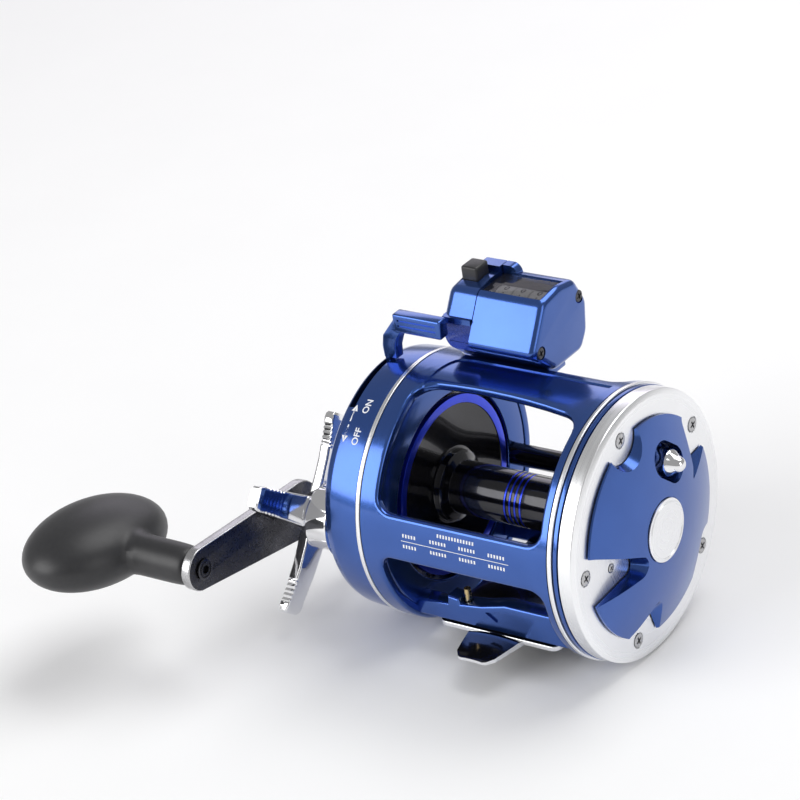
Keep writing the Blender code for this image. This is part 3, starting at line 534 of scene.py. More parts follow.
def painted(made, paint, other=None, test=None):
    """Gives a shape its finish, and a second finish to the faces that pass a test.

    The test takes a face's middle in millimetres from the spool's axis and its normal.
    """
    made.data.materials.clear()
    made.data.materials.append(PAINTS[paint])
    if other:
        made.data.materials.append(PAINTS[other])
        for face in made.data.polygons:
            middle = face.center / MM - Vector((0, 0, AXIS_Z))
            face.material_index = int(test(middle, face.normal))
    return made


def show(made, node, *more, paint=None, angle=35):
    """Lets a piece stand for one or more CAD nodes, and gives it smooth shading."""
    if not made.data.materials:
        painted(made, paint or SLOT_OF[node])
    made.data.shade_smooth()
    made.data.set_sharp_from_angle(angle=math.radians(angle))
    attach(made, BODY_OF[node])
    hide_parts(node, *more)
    return made


def reach_from(middle, y=0.0, z=0.0):
    return math.hypot(middle.y - y, middle.z - z)


# ---- Frame ----


def flare(x, radius):
    """How far a bar's edge spreads as it runs into either end ring."""
    near = min(x - FRAME_LEFT[1], FRAME_RIGHT[0] - x)
    if near >= radius:
        return 0.0
    near = max(near, 0.0)
    return radius - math.sqrt(radius**2 - (radius - near) ** 2)


def bar_edge(middle, side, half, bow, radius):
    """An edge of a bar of the drum, from left to right, as (x, degrees) points."""
    near_ring = [radius * (1 - math.cos(math.radians(a))) for a in range(0, 91, 10)]
    stations = [FRAME_LEFT[1] + step for step in near_ring] + [-16.0, -10.0, -4.0, 2.0, 8.0, 14.0]
    stations += [FRAME_RIGHT[0] - step for step in reversed(near_ring)]
    points = []
    for x in stations:
        distance = half + bow * (x + 5) ** 2 + flare(x, radius)
        points.append((x, middle + side * math.degrees(math.asin(distance / FRAME_R))))
    return points


PANEL_EDGE = (
    (-24.6, 112.0),
    (-24.9, 100.8),
    (-24.6, 96.0),
    (-24.3, 91.7),
    (-23.8, 87.6),
    (-23.1, 84.2),
    (-22.2, 82.2),
    (-20.6, 81.2),
    (-18.0, 80.8),
    (26.4, 80.8),
    (26.4, 112.0),
)


def panel_drop(x, degrees):
    """How far the top bar's panel lies below the drum's surface at a place."""
    if not -27 < x < 27 or not 76 < degrees < 112:
        return 0.0
    here = Vector((x, degrees * ARC))
    inside = False
    nearest = 99.0
    corners = [Vector((u, v * ARC)) for u, v in PANEL_EDGE]
    for i, start in enumerate(corners):
        end = corners[(i + 1) % len(corners)]
        if (start.y > here.y) != (end.y > here.y):
            crossing = start.x + (here.y - start.y) / (end.y - start.y) * (end.x - start.x)
            inside ^= crossing > here.x
        if i < len(corners) - 1:
            along = end - start
            share = max(0.0, min(1.0, (here - start).dot(along) / along.length_squared))
            nearest = min(nearest, (start + along * share - here).length)
    signed = nearest if inside else -nearest
    share = max(0.0, min(1.0, signed / 0.3 + 0.5))
    return PANEL_DEPTH * share


def bisect(skin, point, normal, clear=False):
    geometry = skin.verts[:] + skin.edges[:] + skin.faces[:]
    return bmesh.ops.bisect_plane(
        skin, geom=geometry, dist=0.0001, plane_co=point, plane_no=normal, clear_outer=clear
    )


def drum_shell():
    """The drum's skin, drawn flat with its windows and then bent round the axis."""
    side = 1.5
    left, right = FRAME_LEFT[0] - side, FRAME_RIGHT[1] + side
    start, end = -94.0, 274.0
    rear_low = bar_edge(REAR_BAR, 1, 6.7, 0.0, 4.0)
    rear_high = bar_edge(REAR_BAR, -1, 6.7, 0.0, 4.5)
    top_rear = bar_edge(TOP_BAR, 1, 7.45, 0.0034, 6.0)
    top_front = bar_edge(TOP_BAR, -1, 9.7, 0.0, 4.0)
    outer = [(FRAME_LEFT[1], end), *rear_low, (FRAME_RIGHT[0], end), (right, end), (right, start)]
    outer += [(FRAME_RIGHT[0], start), *reversed(top_front), (FRAME_LEFT[1], start)]
    outer += [(left, start), (left, end)]
    window = top_rear + rear_high[::-1]
    flat = [[(x, degrees * ARC) for x, degrees in outline] for outline in (outer, window)]
    middle_r = (FRAME_R + SHELL_INNER_R) / 2
    half = (FRAME_R - SHELL_INNER_R) / 2
    skin = flat_skin("shell", flat, -half, half, SHELL_EDGE)
    for x, direction in ((FRAME_LEFT[0], -1), (FRAME_RIGHT[1], 1)):
        bisect(skin, (x, 0, 0), (direction, 0, 0), True)
        bmesh.ops.holes_fill(skin, edges=[edge for edge in skin.edges if edge.is_boundary])
    bisect(skin, (0, -90 * ARC, 0), (0, -1, 0), True)
    bisect(skin, (0, 270 * ARC, 0), (0, 1, 0), True)
    for degrees in range(-87, 270, 3):
        bisect(skin, (0, degrees * ARC, 0), (0, 1, 0))
    corners = [Vector((u, v * ARC, 0)) for u, v in PANEL_EDGE]
    for low, high in zip(corners, corners[1:]):
        across = (high - low).normalized().cross(Vector((0, 0, 1)))
        for offset in (-0.16, 0.16):
            bisect(skin, low + across * offset, across)
    for vertex in skin.verts:
        x, arc, lift = vertex.co
        degrees = arc / ARC
        radius = middle_r + lift
        if lift > 0:
            radius -= panel_drop(x, degrees) * min(1.0, lift / half)
        y, z = polar(radius, degrees)
        vertex.co = (x, y, z)
    bmesh.ops.remove_doubles(skin, verts=skin.verts, dist=0.01)
    return made_of("drum_shell", skin, placed(0, 0, 0, UPRIGHT))


def frame_pieces():
    parts = [drum_shell()]
    for x0, x1, name in ((-31.5, -26.6, "left"), (26.85, 28.9, "right")):
        profile = [(x0, 27.4), (x0, 35.6), (x1, 35.6), (x1, 27.4)]
        parts.append(turned(f"inner_ring_{name}", profile, ease=0.6))
    front_edge = [
        (-27.0, -28.2),
        (27.2, -28.2),
        (27.2, -19.0),
        (3.5, -19.0),
        (-4.5, -21.0),
        (-11.6, -22.0),
        (-12.0, -20.4),
        (-15.6, -20.0),
        (-16.0, -22.6),
        (-27.0, -23.0),
    ]
    front_bar = plate("front_bar", [front_edge], 19.5, 25.0, 0.8, turn=SIDE_ON)
    dent = [(-3.4, -22.6), (1.9, -21.3), (0.5, -25.2)]
    cut(front_bar, plate("dent", [eased(dent, 0.4)], 24.4, 26.0, turn=SIDE_ON))
    rear_bar = block("rear_bar", (-27.0, 27.2), (19.5, 25.0), (-28.2, -19.0), 1.2)
    for bar, (x, y) in zip((front_bar, rear_bar), FOOT_SCREWS):
        parts.append(cut(bar, upright_rod("bore", -30, -15, 1.5, x, y)))
    parts.append(block("shelf", (-26.6, 2.4), (8.0, 20.0), (33.2, COUNTER_BASE - 0.3), 0.4))
    made = gathered("frame_fine", parts)
    made.data.materials.clear()
    show(made, "frame")


def accent_ring(name, x0):
    profile = [(x0, 36.3), (x0, 38.6), (x0 + 1.3, 38.6), (x0 + 1.3, 36.3)]
    show(turned(name + "_fine", profile, steps=160, ease=0.3), name)


# ---- Handle side ----


def on_cover(name, skin, x, degrees):
    """Bends flat marks round the tapered cover: they read towards smaller angles, tops towards -X."""
    for vertex in skin.verts:
        u, v, lift = vertex.co
        radius = COVER_R + 0.5 * (x - v + 42.5) / 9.0 + 0.01
        vertex.co = (x - v, *polar(radius + lift, degrees - math.degrees(u / radius)))
    return made_of(name, skin, placed(0, 0, 0, UPRIGHT))


def on_bar(name, skin, x, degrees):
    """Bends flat marks round the rear bar: they read towards +X."""
    for vertex in skin.verts:
        u, v, lift = vertex.co
        vertex.co = (x + u, *polar(FRAME_R + 0.01 + lift, degrees - math.degrees(v / FRAME_R)))
    return made_of(name, skin, placed(0, 0, 0, UPRIGHT))


def lettering(word, size):
    """Flat raised letters, centred on their own origin."""
    text = bpy.data.curves.new(word, "FONT")
    text.body = word
    text.size = size
    text.align_x = "CENTER"
    text.align_y = "CENTER"
    text.extrude = 0.03
    text.offset = 0.015 * size
    text.resolution_u = 4
    guide = bpy.data.objects.new(word + "_guide", text)
    bpy.context.scene.collection.objects.link(guide)
    graph = bpy.context.evaluated_depsgraph_get()
    mesh = bpy.data.meshes.new_from_object(guide.evaluated_get(graph))
    bpy.data.objects.remove(guide)
    skin = bmesh.new()
    skin.from_mesh(mesh)
    bpy.data.meshes.remove(mesh)
    bmesh.ops.remove_doubles(skin, verts=skin.verts, dist=0.0005)
    return skin


def arrow_mark(direction):
    """A bent arrow: a short stroke with a head, pointing up or down the drum."""
    outline = [(-2.6, -0.2), (0.6, -0.2), (0.6, -1.0), (2.6, 0), (0.6, 1.0), (0.6, 0.2), (-2.6, 0.2)]
    flipped = [(direction * u, v) for u, v in outline]
    return flat_skin("arrow", [flipped], -0.03, 0.03)


def handle_side_cover():
    inside = -44.05
    profile = [
        (-33.5, 35.9),
        (-33.5, 38.1),
        (-42.5, COVER_R),
        (-44.5, 37.0),
        (-45.5, 35.8),
        (-45.85, 34.2),
        (-45.85, 4.4),
        (-43.0, 4.4),
        (-43.0, 6.0),
        (inside, 6.0),
        (inside, 35.2),
    ]
    cover = turned("handle_side_cover_fine", profile, steps=160, ease=0.35)
    boss_profile = [(-54.2, 0), (-54.2, 10.2), (-53.6, 10.8), (-45.0, 10.8), (-45.0, 0)]
    boss = turned("boss", boss_profile, SHAFT_Y, SHAFT_Z, 96)
    join(cover, boss)
    slot = plate("slot", [sector(33, 40, 86, 122, 24)], -44.0, -41.8)
    cut(cover, rod("bore", -60, -43.5, 5.2, SHAFT_Y, SHAFT_Z), slot)
    show(cover, "handle_side_cover", angle=28)
    marks = [
        on_cover("on_word", lettering("ON", 2.9), -37.7, 120.5),
        on_cover("off_word", lettering("OFF", 2.9), -37.3, 134.5),
        on_cover("on_arrow", arrow_mark(1), -41.3, 124.5),
        on_cover("off_arrow", arrow_mark(-1), -41.3, 134.0),
    ]
    trim = gathered("cover_marks", marks)
    trim.data.materials.clear()
    show(trim, "handle_side_cover", paint="mark_white")


def capacity_marks():
    """A blank three-row chart on the rear bar, ruled instead of lettered."""
    columns = ((-17.5, 5.4), (-8.5, 6.2), (1.0, 6.2), (10.5, 6.2))
    rows = ((167.6, ((-6.0, 13.0),)), (170.9, columns), (175.6, columns))
    parts = []
    for degrees, dashes in rows:
        for x, length in dashes:
            for place in range(int(length / 0.95)):
                corners = [(0, -0.5), (0.5, -0.5), (0.5, 0.5), (0, 0.5)]
                dash = flat_skin("dash", [corners], -0.02, 0.02)
                parts.append(on_bar("dash", dash, x + place * 0.95, degrees))
    line = [(-18.0 + i, v) for v, run in ((-0.09, range(36)), (0.09, range(35, -1, -1))) for i in run]
    parts.append(on_bar("line", flat_skin("line", [line], -0.02, 0.02), 0.0, 173.3))
    marks = gathered("capacity_marks", parts)
    marks.data.materials.clear()
    show(marks, "frame", paint="mark_white")


def tension_cap():
    profile = [
        (-50.4, 0),
        (-50.4, 6.4),
        (-49.8, 7.2),
        (-46.15, 7.2),
        (-46.15, 4.1),
        (-43.9, 4.1),
        (-43.9, 2.1),
        (-45.5, 2.1),
        (-45.5, 0),
    ]

    def knurl(along, radius, angle):
        if radius < 6.9 or not -49.7 < along < -46.4:
            return radius
        return radius - 0.22 * (0.5 + 0.5 * math.cos(36 * angle))

    fine = [(-50.4, 0), (-50.4, 6.2), (-49.9, 7.0)]
    fine += [(-49.6 + 0.4 * i, 7.2) for i in range(9)]
    fine += profile[4:]
    show(turned("tension_cap_fine", fine, steps=288, wave=knurl), "tension_cap", paint="chrome_plate")


def star_wheel():
    hub = [
        (-66.6, 3.3),
        (-66.6, 6.2),
        (-66.0, 7.0),
        (-62.5, 9.0),
        (-62.0, 9.3),
        (-55.0, 9.3),
        (-54.5, 8.8),
        (-54.5, 4.8),
        (-43.7, 4.8),
        (-43.7, 3.3),
    ]
    parts = [turned("star_hub", hub, SHAFT_Y, SHAFT_Z, 96, 0.4)]
    shape = (
        (5.0, 4.6, -64.3, 3.6),
        (10.0, 4.3, -64.3, 3.5),
        (16.0, 4.0, -64.6, 3.4),
        (22.0, 3.8, -65.3, 3.4),
        (27.6, 3.6, -66.1, 3.4),
        (28.8, 3.3, -66.3, 3.1),
        (29.5, 2.6, -66.4, 2.6),
    )
    for i in range(4):
        sections = []
        for low, high in zip(shape, shape[1:]):
            for step in range(16):
                share = step / 16
                reach, half, x, thick = (a + (b - a) * share for a, b in zip(low, high))
                if 19.5 < reach < 26.5:
                    half -= 0.4 * (0.5 + 0.5 * math.cos(2 * math.pi * reach / 1.4))
                corners = [(-half, -thick / 2), (half, -thick / 2), (half, thick / 2), (-half, thick / 2)]
                sections.append([(u, reach, x + v) for u, v in eased(corners, 0.7)])
        turn = SIDEWAYS @ Matrix.Rotation(math.radians(STAR_ANGLE + 90 * i - 90), 4, "Z")
        arm = loft(f"arm_{i}", sections, placed(0, SHAFT_Y, SHAFT_Z, turn))
        parts.append(arm)
    made = gathered("star_wheel_fine", parts)
    made.data.materials.clear()
    show(made, "star_wheel")


def handle():
    outline = [polar(8.8, CRANK_DEGREES + 80 + 200 * i / 48) for i in range(49)]
    end = polar(CRANK_LENGTH, CRANK_DEGREES)
    outline += [polar(6.35, CRANK_DEGREES - 88 + 176 * i / 40, *end) for i in range(41)]
    arm = plate(
        "handle_arm_fine", [outline, circle(3.2), circle(1.9, 40, *end)], -73.2, -70.2, 0.45, SHAFT_Y, SHAFT_Z
    )
    painted(arm, "steel", "steel_dark", lambda middle, normal: abs(normal.x) > 0.95)
    show(arm, "handle_arm")
    nut_profile = [(-77.0, 0), (-77.0, 4.7), (-76.5, 5.2), (-73.5, 5.6), (-73.5, 0)]
    nut = turned("handle_nut_fine", nut_profile, SHAFT_Y, SHAFT_Z, 6)
    cut(nut, rod("bore", -76.3, -70, 3.2, SHAFT_Y, SHAFT_Z))
    show(nut, "handle_nut", paint="chrome_plate")


def knob_spindle():
    y, z = polar(CRANK_LENGTH, CRANK_DEGREES, SHAFT_Y, SHAFT_Z)
    profile = [(-104, 0), (-104, 1.6), (-69.9, 1.6), (-69.9, 3.0), (-69.5, 3.0), (-69.4, 2.85), (-69.4, 0)]
    spindle = turned("knob_spindle_fine", profile, y, z, 64)
    cut(spindle, plate("socket", [circle(1.35, 6)], -70.6, -69.0, y=y, z=z))
    groove = turned("groove", [(-69.6, 2.0), (-69.6, 2.3), (-69.0, 2.3), (-69.0, 2.0)], y, z, 64)
    show(cut(spindle, groove), "knob_spindle", paint="steel_dark")


def knob():
    """An egg-shaped grip flowing into a round neck, its surface found outwards from its middle."""
    y, z = polar(CRANK_LENGTH, CRANK_DEGREES, SHAFT_Y, SHAFT_Z)
    tilt = Matrix.Rotation(math.radians(5.7), 3, "X")
    reach = KNOB_NECK_END - KNOB_CENTRE_X
    slopes = [0.25 * i for i in range(1, 24)] + [6 + 0.5 * i for i in range(24)]
    slopes += [18 + 3 * i for i in range(54)]
    skin = bmesh.new()
    rows = [[skin.verts.new((reach, 0, 0))]]
    steps = 96
    for slope in slopes:
        row = []
        for i in range(steps):
            turn_angle = 2 * math.pi * i / steps
            away = math.sin(math.radians(slope))
            along = math.cos(math.radians(slope))
            way = Vector((along, away * math.cos(turn_angle), away * math.sin(turn_angle)))
            level = tilt @ way
            egg = 1 / math.sqrt(sum((level[k] / KNOB_SIZES[k]) ** 2 for k in range(3)))
            distance = egg
            if way.x > 0.05:
                neck = ((away / KNOB_NECK_R) ** 14 + (way.x / reach) ** 14) ** (-1 / 14)
                distance = (egg**16 + neck**16) ** (1 / 16)
            row.append(skin.verts.new(way * distance))
        rows.append(row)
    rows.append([skin.verts.new((-KNOB_SIZES[0], 0, 0))])
    for low, high in zip(rows, rows[1:]):
        for i in range(steps):
            near = [low[i % len(low)], low[(i + 1) % len(low)]]
            far = [high[(i + 1) % len(high)], high[i % len(high)]]
            skin.faces.new(list(dict.fromkeys(near + far)))
    made = made_of("knob_fine", skin, placed(KNOB_CENTRE_X, y, z, UPRIGHT))
    show(made, "knob")


def free_spool_lever():
    ring = turned("ring", [(-43.75, 6.3), (-43.75, 9.0), (-43.05, 9.0), (-43.05, 6.3)], steps=64)
    arm = block("arm", (-43.75, -43.05), (-1.6, 2.8), (8.0, 33.5), 0.1)
    root = block("root", (-43.7, -42.1), (-1.0, 1.2), (32.5, 42.0), 0.1)
    stations = (
        (38.6, -43.6, -39.0, -1.6, 1.6),
        (42.0, -43.6, -38.8, -1.8, 1.6),
        (45.6, -42.6, -37.4, -2.2, 1.7),
        (51.0, -38.3, -34.0, -2.1, 1.6),
    )
    sections = []
    for low, high in zip(stations, stations[1:]):
        for step in range(5):
            z, x0, x1, y0, y1 = (a + (b - a) * step / 4 for a, b in zip(low, high))
            if step == 4 and high is not stations[-1]:
                continue
            sections.append([(x, y, z) for x, y in eased([(x0, y0), (x1, y0), (x1, y1), (x0, y1)], 0.5)])
    web = loft("web", sections, placed(0, 0, 0, UPRIGHT))
    pad = block("pad", (-38.4, -22.4), (-2.2, 1.7), (47.2, 52.8), 0.6)
    join(pad, web)
    for z in (49.2, 50.8):
        cut(pad, block("groove", (-36.8, -24.0), (-4, -1.8), (z, z + 0.5)))
    made = gathered("free_spool_lever_fine", [ring, arm, root, pad])
    made.data.materials.clear()
    show(made, "free_spool_lever")


# ---- Spool and level wind ----


def spool():
    profile = [
        (-29.8, 2.5),
        (-29.8, 6.5),
        (-28.4, 6.5),
        (-28.4, FLANGE_R),
        (-26.6, FLANGE_R),
        (-26.6, 23.5),
        (-26.85, 23.4),
        (-26.85, 11.2),
        (-26.6, 10.5),
        (-24.9, 10.3),
        (-24.4, 9.6),
        (-23.5, ARBOR_R),
    ]
    rings = [-5.2 + 1.7 * i for i in range(4)]
    for x in rings:
        profile += [(x, ARBOR_R), (x, ARBOR_R - 0.12), (x + 0.55, ARBOR_R - 0.12), (x + 0.55, ARBOR_R)]
    profile += [
        (24.4, ARBOR_R),
        (25.2, 9.2),
        (26.9, 10.0),
        (26.9, FLANGE_R),
        (28.7, FLANGE_R),
        (28.7, 6.5),
        (30.2, 6.5),
        (30.2, 2.5),
    ]
    made = turned("spool_fine", profile, steps=160, ease=0.06)

    def blue(middle, _):
        reach = reach_from(middle)
        on_ring = any(x < middle.x < x + 0.55 for x in rings) and reach < ARBOR_R - 0.02
        return reach > 23.45 or on_ring

    painted(made, "black_anodised", "royal_blue", blue)
    show(made, "spool")


def worm_shaft():
    """A round bar with a left-hand and a right-hand groove that cross."""
    start, end, pitch = -24.0, 24.0, 9.0
    profile = [(-32.9, 0), (-32.9, 1.6), (start - 0.5, 1.6)]
    profile += [(start + (end - start) * i / 200, 1.6) for i in range(201)]
    profile += [(end + 0.5, 1.6), (27.9, 1.6), (27.9, 0)]

    def groove(along, radius, angle):
        if not start < along < end:
            return radius
        phase = 2 * math.pi * (along - start) / pitch
        near = max(math.cos(angle - phase), math.cos(angle + phase))
        return radius - 0.45 * max(0.0, min(1.0, (near - 0.72) / 0.12))

    show(turned("worm_shaft_fine", profile, WORM_Y, WORM_Z, 40, wave=groove), "worm_shaft")


def level_wind_tube():
    profile = [(-26.0, 2.4), (-26.0, 3.3), (26.2, 3.3), (26.2, 2.4)]
    tube = turned("level_wind_tube_fine", profile, WORM_Y, WORM_Z, 64, 0.1)
    cut(tube, block("slot", (-24.5, 24.5), (WORM_Y - 1.2, WORM_Y + 1.2), (WORM_Z - 5, WORM_Z - 1.7)))
    show(tube, "level_wind_tube")


def line_guide():
    x = (GUIDE_X - 4, GUIDE_X + 4)
    made = block("line_guide_fine", x, (WORM_Y - 4.7, WORM_Y + 4.7), (WORM_Z - 4.7, WORM_Z + 4.7), 1.4, 4)
    eye = block("eye", x, (WORM_Y - 1.2, WORM_Y + 1.2), (WORM_Z + 4.0, WORM_Z + 14.5), 0.5)
    join(made, eye)
    hole = block("hole", (x[0] + 1.5, x[1] - 1.5), (20, 40), (WORM_Z + 5.9, WORM_Z + 12.9), 0.6)
    bore = rod("bore", 0, 30, 3.6, WORM_Y, WORM_Z)
    pawl_bores = [upright_rod("cap_bore", -12, WORM_Z - 4.0, 2.5, GUIDE_X, WORM_Y)]
    pawl_bores.append(upright_rod("pawl_bore", WORM_Z - 4.4, 0, 1.3, GUIDE_X, WORM_Y))
    show(cut(made, hole, bore, *pawl_bores), "line_guide")


# ---- Palm side ----


def clicker_path(radius):
    return capsule(CLICKER, polar(CLICKER_TRAVEL, CLICKER_DEGREES, *CLICKER), radius)


def palm_side_plate():
    profile = [
        (33.9, 0),
        (33.9, 4.7),
        (32.1, 4.7),
        (32.1, 6.2),
        (33.9, 6.2),
        (33.9, 32.0),
        (30.9, 32.0),
        (30.9, 38.1),
        (32.05, 38.1),
        (32.05, 33.5),
        (35.6, 33.5),
        (35.6, 32.0),
        (35.4, 32.0),
        (35.4, 0),
    ]
    made = turned("palm_side_plate_fine", profile, steps=160, ease=0.12)
    show(cut(made, plate("slot", [clicker_path(1.7)], 33, 36)), "palm_side_plate", angle=25)


def cross_head(name, node, x, y, z, radius, height, depth, paint="steel"):
    """A round screw head with a cross cut into it, its top facing +X."""
    profile = [(x - height, 0), (x - height, radius), (x - 0.15 * height, radius), (x, radius * 0.75), (x, 0)]
    head = turned(name, profile, y, z, 40, 0.12)
    wide, narrow = radius * 0.6, radius * 0.14
    for turn_degrees in (20, 110):
        corners = [(-wide, -narrow), (wide, -narrow), (wide, narrow), (-wide, narrow)]
        turn_matrix = Matrix.Rotation(math.radians(turn_degrees), 2)
        bar = [tuple(turn_matrix @ Vector(corner)) for corner in corners]
        cut(head, plate("slot", [bar], x - depth, x + 1, y=y, z=z))

    # Painted shade: the floor of the cross slot gets steel_dark so the recess reads darker than the head.
    def in_slot(middle, _):
        return middle.x < x - 0.9 * depth and reach_from(middle, y, z) < wide

    painted(head, paint, "steel_dark", in_slot)
    show(head, node)


def trim_ring():
    profile = [
        (32.35, 33.8),
        (32.35, 37.8),
        (32.55, TRIM_R),
        (36.2, TRIM_R),
        (36.5, 37.9),
        (TRIM_FACE - 0.05, 36.4),
        (TRIM_FACE, 36.1),
        (TRIM_FACE, 10.0),
        (35.9, 10.0),
        (35.9, 33.8),
    ]
    made = turned("trim_ring_fine", profile, steps=192, ease=0.1)
    cutters = [plate("recess", [clicker_path(4.75)], 35, 38)]
    seat = [(35, 0), (35, 1.3), (36.3, 1.3), (36.3, 2.3), (37.0, 2.35), (38, 2.9), (38, 0)]
    for degrees in SCREW_ANGLES:
        cutters.append(turned("seat", seat, *polar(SCREW_CIRCLE, degrees), 40))
    y, z = polar(20.0, -174)
    cutters.append(rod("dome_screw_seat", 36.3, 38, 1.5, y, z, 32))
    show(cut(made, *cutters), "trim_ring", angle=25)
    for i, degrees in enumerate(SCREW_ANGLES):
        y, z = polar(SCREW_CIRCLE, degrees)
        cross_head(f"trim_screw_{i + 1}_fine", f"trim_screw_{i + 1}", 37.28, y, z, 2.0, 0.7, 0.45)
    y, z = polar(20.0, -174)
    cross_head("dome_screw_fine", "dome_screw", 37.28, y, z, 1.2, 0.6, 0.3)


def dome_surface(radius):
    ball = (DOME_R**2 + DOME_DROP**2) / (2 * DOME_DROP)
    return DOME_CROWN - ball + math.sqrt(ball**2 - radius**2)


def bite_cutter(outline, pivot, slope):
    """A cutter that goes straight up to the shield and then opens out from a point as it rises."""
    sections = []
    for x in (36.0, TRIM_FACE, TRIM_FACE + 0.3, 44.0):
        grow = 1 + slope * max(0.0, x - TRIM_FACE) / 10
        opened = [Vector(pivot).lerp(Vector(corner), grow) for corner in outline]
        sections.append([(x, y, z) for y, z in opened])
    return loft("bite", sections, placed(0, 0, 0, UPRIGHT))


def palm_dome():
    base = TRIM_FACE + 0.3
    radii = [DOME_R * i / 24 for i in range(25)]
    profile = [(dome_surface(r), r) for r in radii] + [(base, DOME_R), (base, 0)]
    dome = turned("palm_dome_fine", profile, steps=160)
    bites = (
        (((47, 30.5), (35, 26.6), (27, 24.9), (24, 23.2), (19, 31.4)), 33.5, 1.1),
        (((-27, 31.2), (-30, 28.6), (-34, 27.3), (-43, 28.3), (-56, 31.2)), -41.0, 0.6),
        (((-95, 31.2), (-98, 28.0), (-101, 25.2), (-105, 24.6), (-116, 28.8), (-122, 31.5)), -109.5, 1.1),
    )
    cutters = []
    for bite, middle, slope in bites:
        outline = [polar(radius, degrees) for degrees, radius in bite]
        outline += [polar(40, degrees) for degrees, _ in reversed(bite)]
        cutters.append(bite_cutter(eased(outline, 1.2, steps=4), polar(34, middle), slope))
    screw = [(36, 0), (36, 6.5), (TRIM_FACE, 6.5), (44, 11.0), (44, 0)]
    cutters.append(turned("top_bite", screw, *polar(SCREW_CIRCLE, SCREW_ANGLES[1])))
    notch = [
        (-36, 8.6),
        (-28.5, 5.4),
        (-19.8, 0.9),
        (-11.8, -3.0),
        (-10.8, -5.4),
        (-12.3, -7.7),
        (-19.1, -8.0),
        (-36, -8.8),
    ]
    cutters.append(bite_cutter(eased(notch, 1.6, steps=4), (-19.0, -3.5), 0.4))
    half_way = polar(CLICKER_TRAVEL / 2, CLICKER_DEGREES, *CLICKER)
    cutters.append(bite_cutter(clicker_path(4.75), half_way, 0.2))
    cutters.append(rod("badge_seat", 42.1, 46, 9.25, steps=96))
    cut(dome, *cutters)

    show(dome, "palm_dome", angle=24)
    badge = [(42.4, 0), (42.4, 8.95), (42.85, 8.95), (42.95, 8.75)]
    for reach in (8.3, 7.9):
        badge += [(42.95, reach), (42.87, reach - 0.06), (42.87, reach - 0.2), (42.95, reach - 0.26)]
    badge.append((42.95, 0))
    show(turned("badge_fine", badge, steps=128), "badge")


def clicker_button():
    y, z = CLICKER
    bullet = [
        (32.2, 0),
        (32.2, 1.3),
        (35.7, 1.3),
        (35.7, 3.9),
        (40.0, 3.9),
        (40.4, 3.7),
        (41.0, 3.2),
        (41.6, 2.75),
        (42.2, 2.4),
        (42.8, 2.2),
        (43.4, 1.95),
        (43.9, 1.55),
        (44.3, 1.0),
        (44.5, 0),
    ]
    show(turned("clicker_button_fine", bullet, y, z, 64, 0.3), "clicker_button")


# ---- Foot ----


def foot():
    base = -AXIS_Z
    corners = [(-19.75, -25.3), (19.75, -25.3), (19.75, 25.3), (-19.75, 25.3)]
    middle = plate("middle", [eased(corners, 3.0, steps=8)], base, base + 1.6, 0.3, turn=UPRIGHT)
    parts = [middle]
    leaf = (
        (19, 9.0, 1.0),
        (25.3, 8.7, 1.0),
        (27, 8.3, 1.5),
        (32, 7.2, 1.3),
        (36, 6.2, 1.1),
        (38, 4.6, 0.9),
        (38.5, 3.2, 0.8),
    )
    for side in (-1, 1):
        sections = []
        for low, high in zip(leaf, leaf[1:]):
            for step in range(4):
                y, half, thick = (a + (b - a) * step / 4 for a, b in zip(low, high))
                half_turn = [math.pi * i / 20 for i in range(21)]
                hollow = [0.55 * math.sin(t) ** 2 * half / 9.0 for t in half_turn]
                top = [(half * math.cos(t), side * y, base + h + thick) for t, h in zip(half_turn, hollow)]
                under = [(half * math.cos(t), side * y, base + h) for t, h in zip(half_turn, hollow)]
                sections.append(top + under[::-1])
        parts.append(loft(f"leaf_{side}", sections, placed(0, 0, 0, UPRIGHT)))
    for part in parts:
        for x, y in FOOT_SCREWS:
            bore = upright_rod("bore", -40, -25, 1.3, x, y)
            seat = upright_rod("seat", -40, base + 1.0, 2.2, x, y)
            cut(part, bore, seat)
    made = gathered("foot_fine", parts)
    painted(made, "black_anodised", "silver_satin", lambda place, normal: abs(normal.z) < 0.6)
    show(made, "foot")


# ---- Line counter ----


def counter_shell(name, end, parting, corner):
    """One half of the counter's case, round at its end, hollow, and open at the parting."""
    away = math.copysign(1, parting - end)
    places = [(math.cos(t), math.sin(t)) for t in (math.pi / 12 * i for i in range(7))]
    rims = [(end + away * corner * (1 - c), corner * (1 - s)) for c, s in places] + [(parting, 0.0)]
    sections = []
    for x, inwards in rims:
        outline = eased(inset(COUNTER_SECTION, inwards), 1.8 - 0.4 * inwards, steps=5)
        sections.append([(x, y, z) for y, z in outline])
    shell = loft(name, sections, placed(0, 0, 0, UPRIGHT))
    fin_x = (max(-23.5, min(end, parting)), min(-11.0, max(end, parting)))
    inner = sorted((end + away * COUNTER_WALL, parting + away))
    hollow = plate("hollow", [inset(COUNTER_SECTION, COUNTER_WALL)], *inner)
    quarter = [polar(1.0, 90 * i / 8) for i in range(9)]
    if parting < end:
        tops = [(fin_x[0], FIN_TOP)] + [(-13.6 + 2.6 * v, 57.5 + 3.1 * u) for u, v in quarter]
    else:
        tops = [(-22.3 - 1.2 * u, FIN_TOP - 1.2 + 1.2 * v) for u, v in quarter] + [(fin_x[1], FIN_TOP)]
    sections = [[(x, 20.2, 54), (x, 24.2, 54), (x, 24.2, top), (x, 20.2, top)] for x, top in tops]
    fin = loft("fin", sections, placed(0, 0, 0, UPRIGHT))
    return cut(join(shell, fin), hollow)


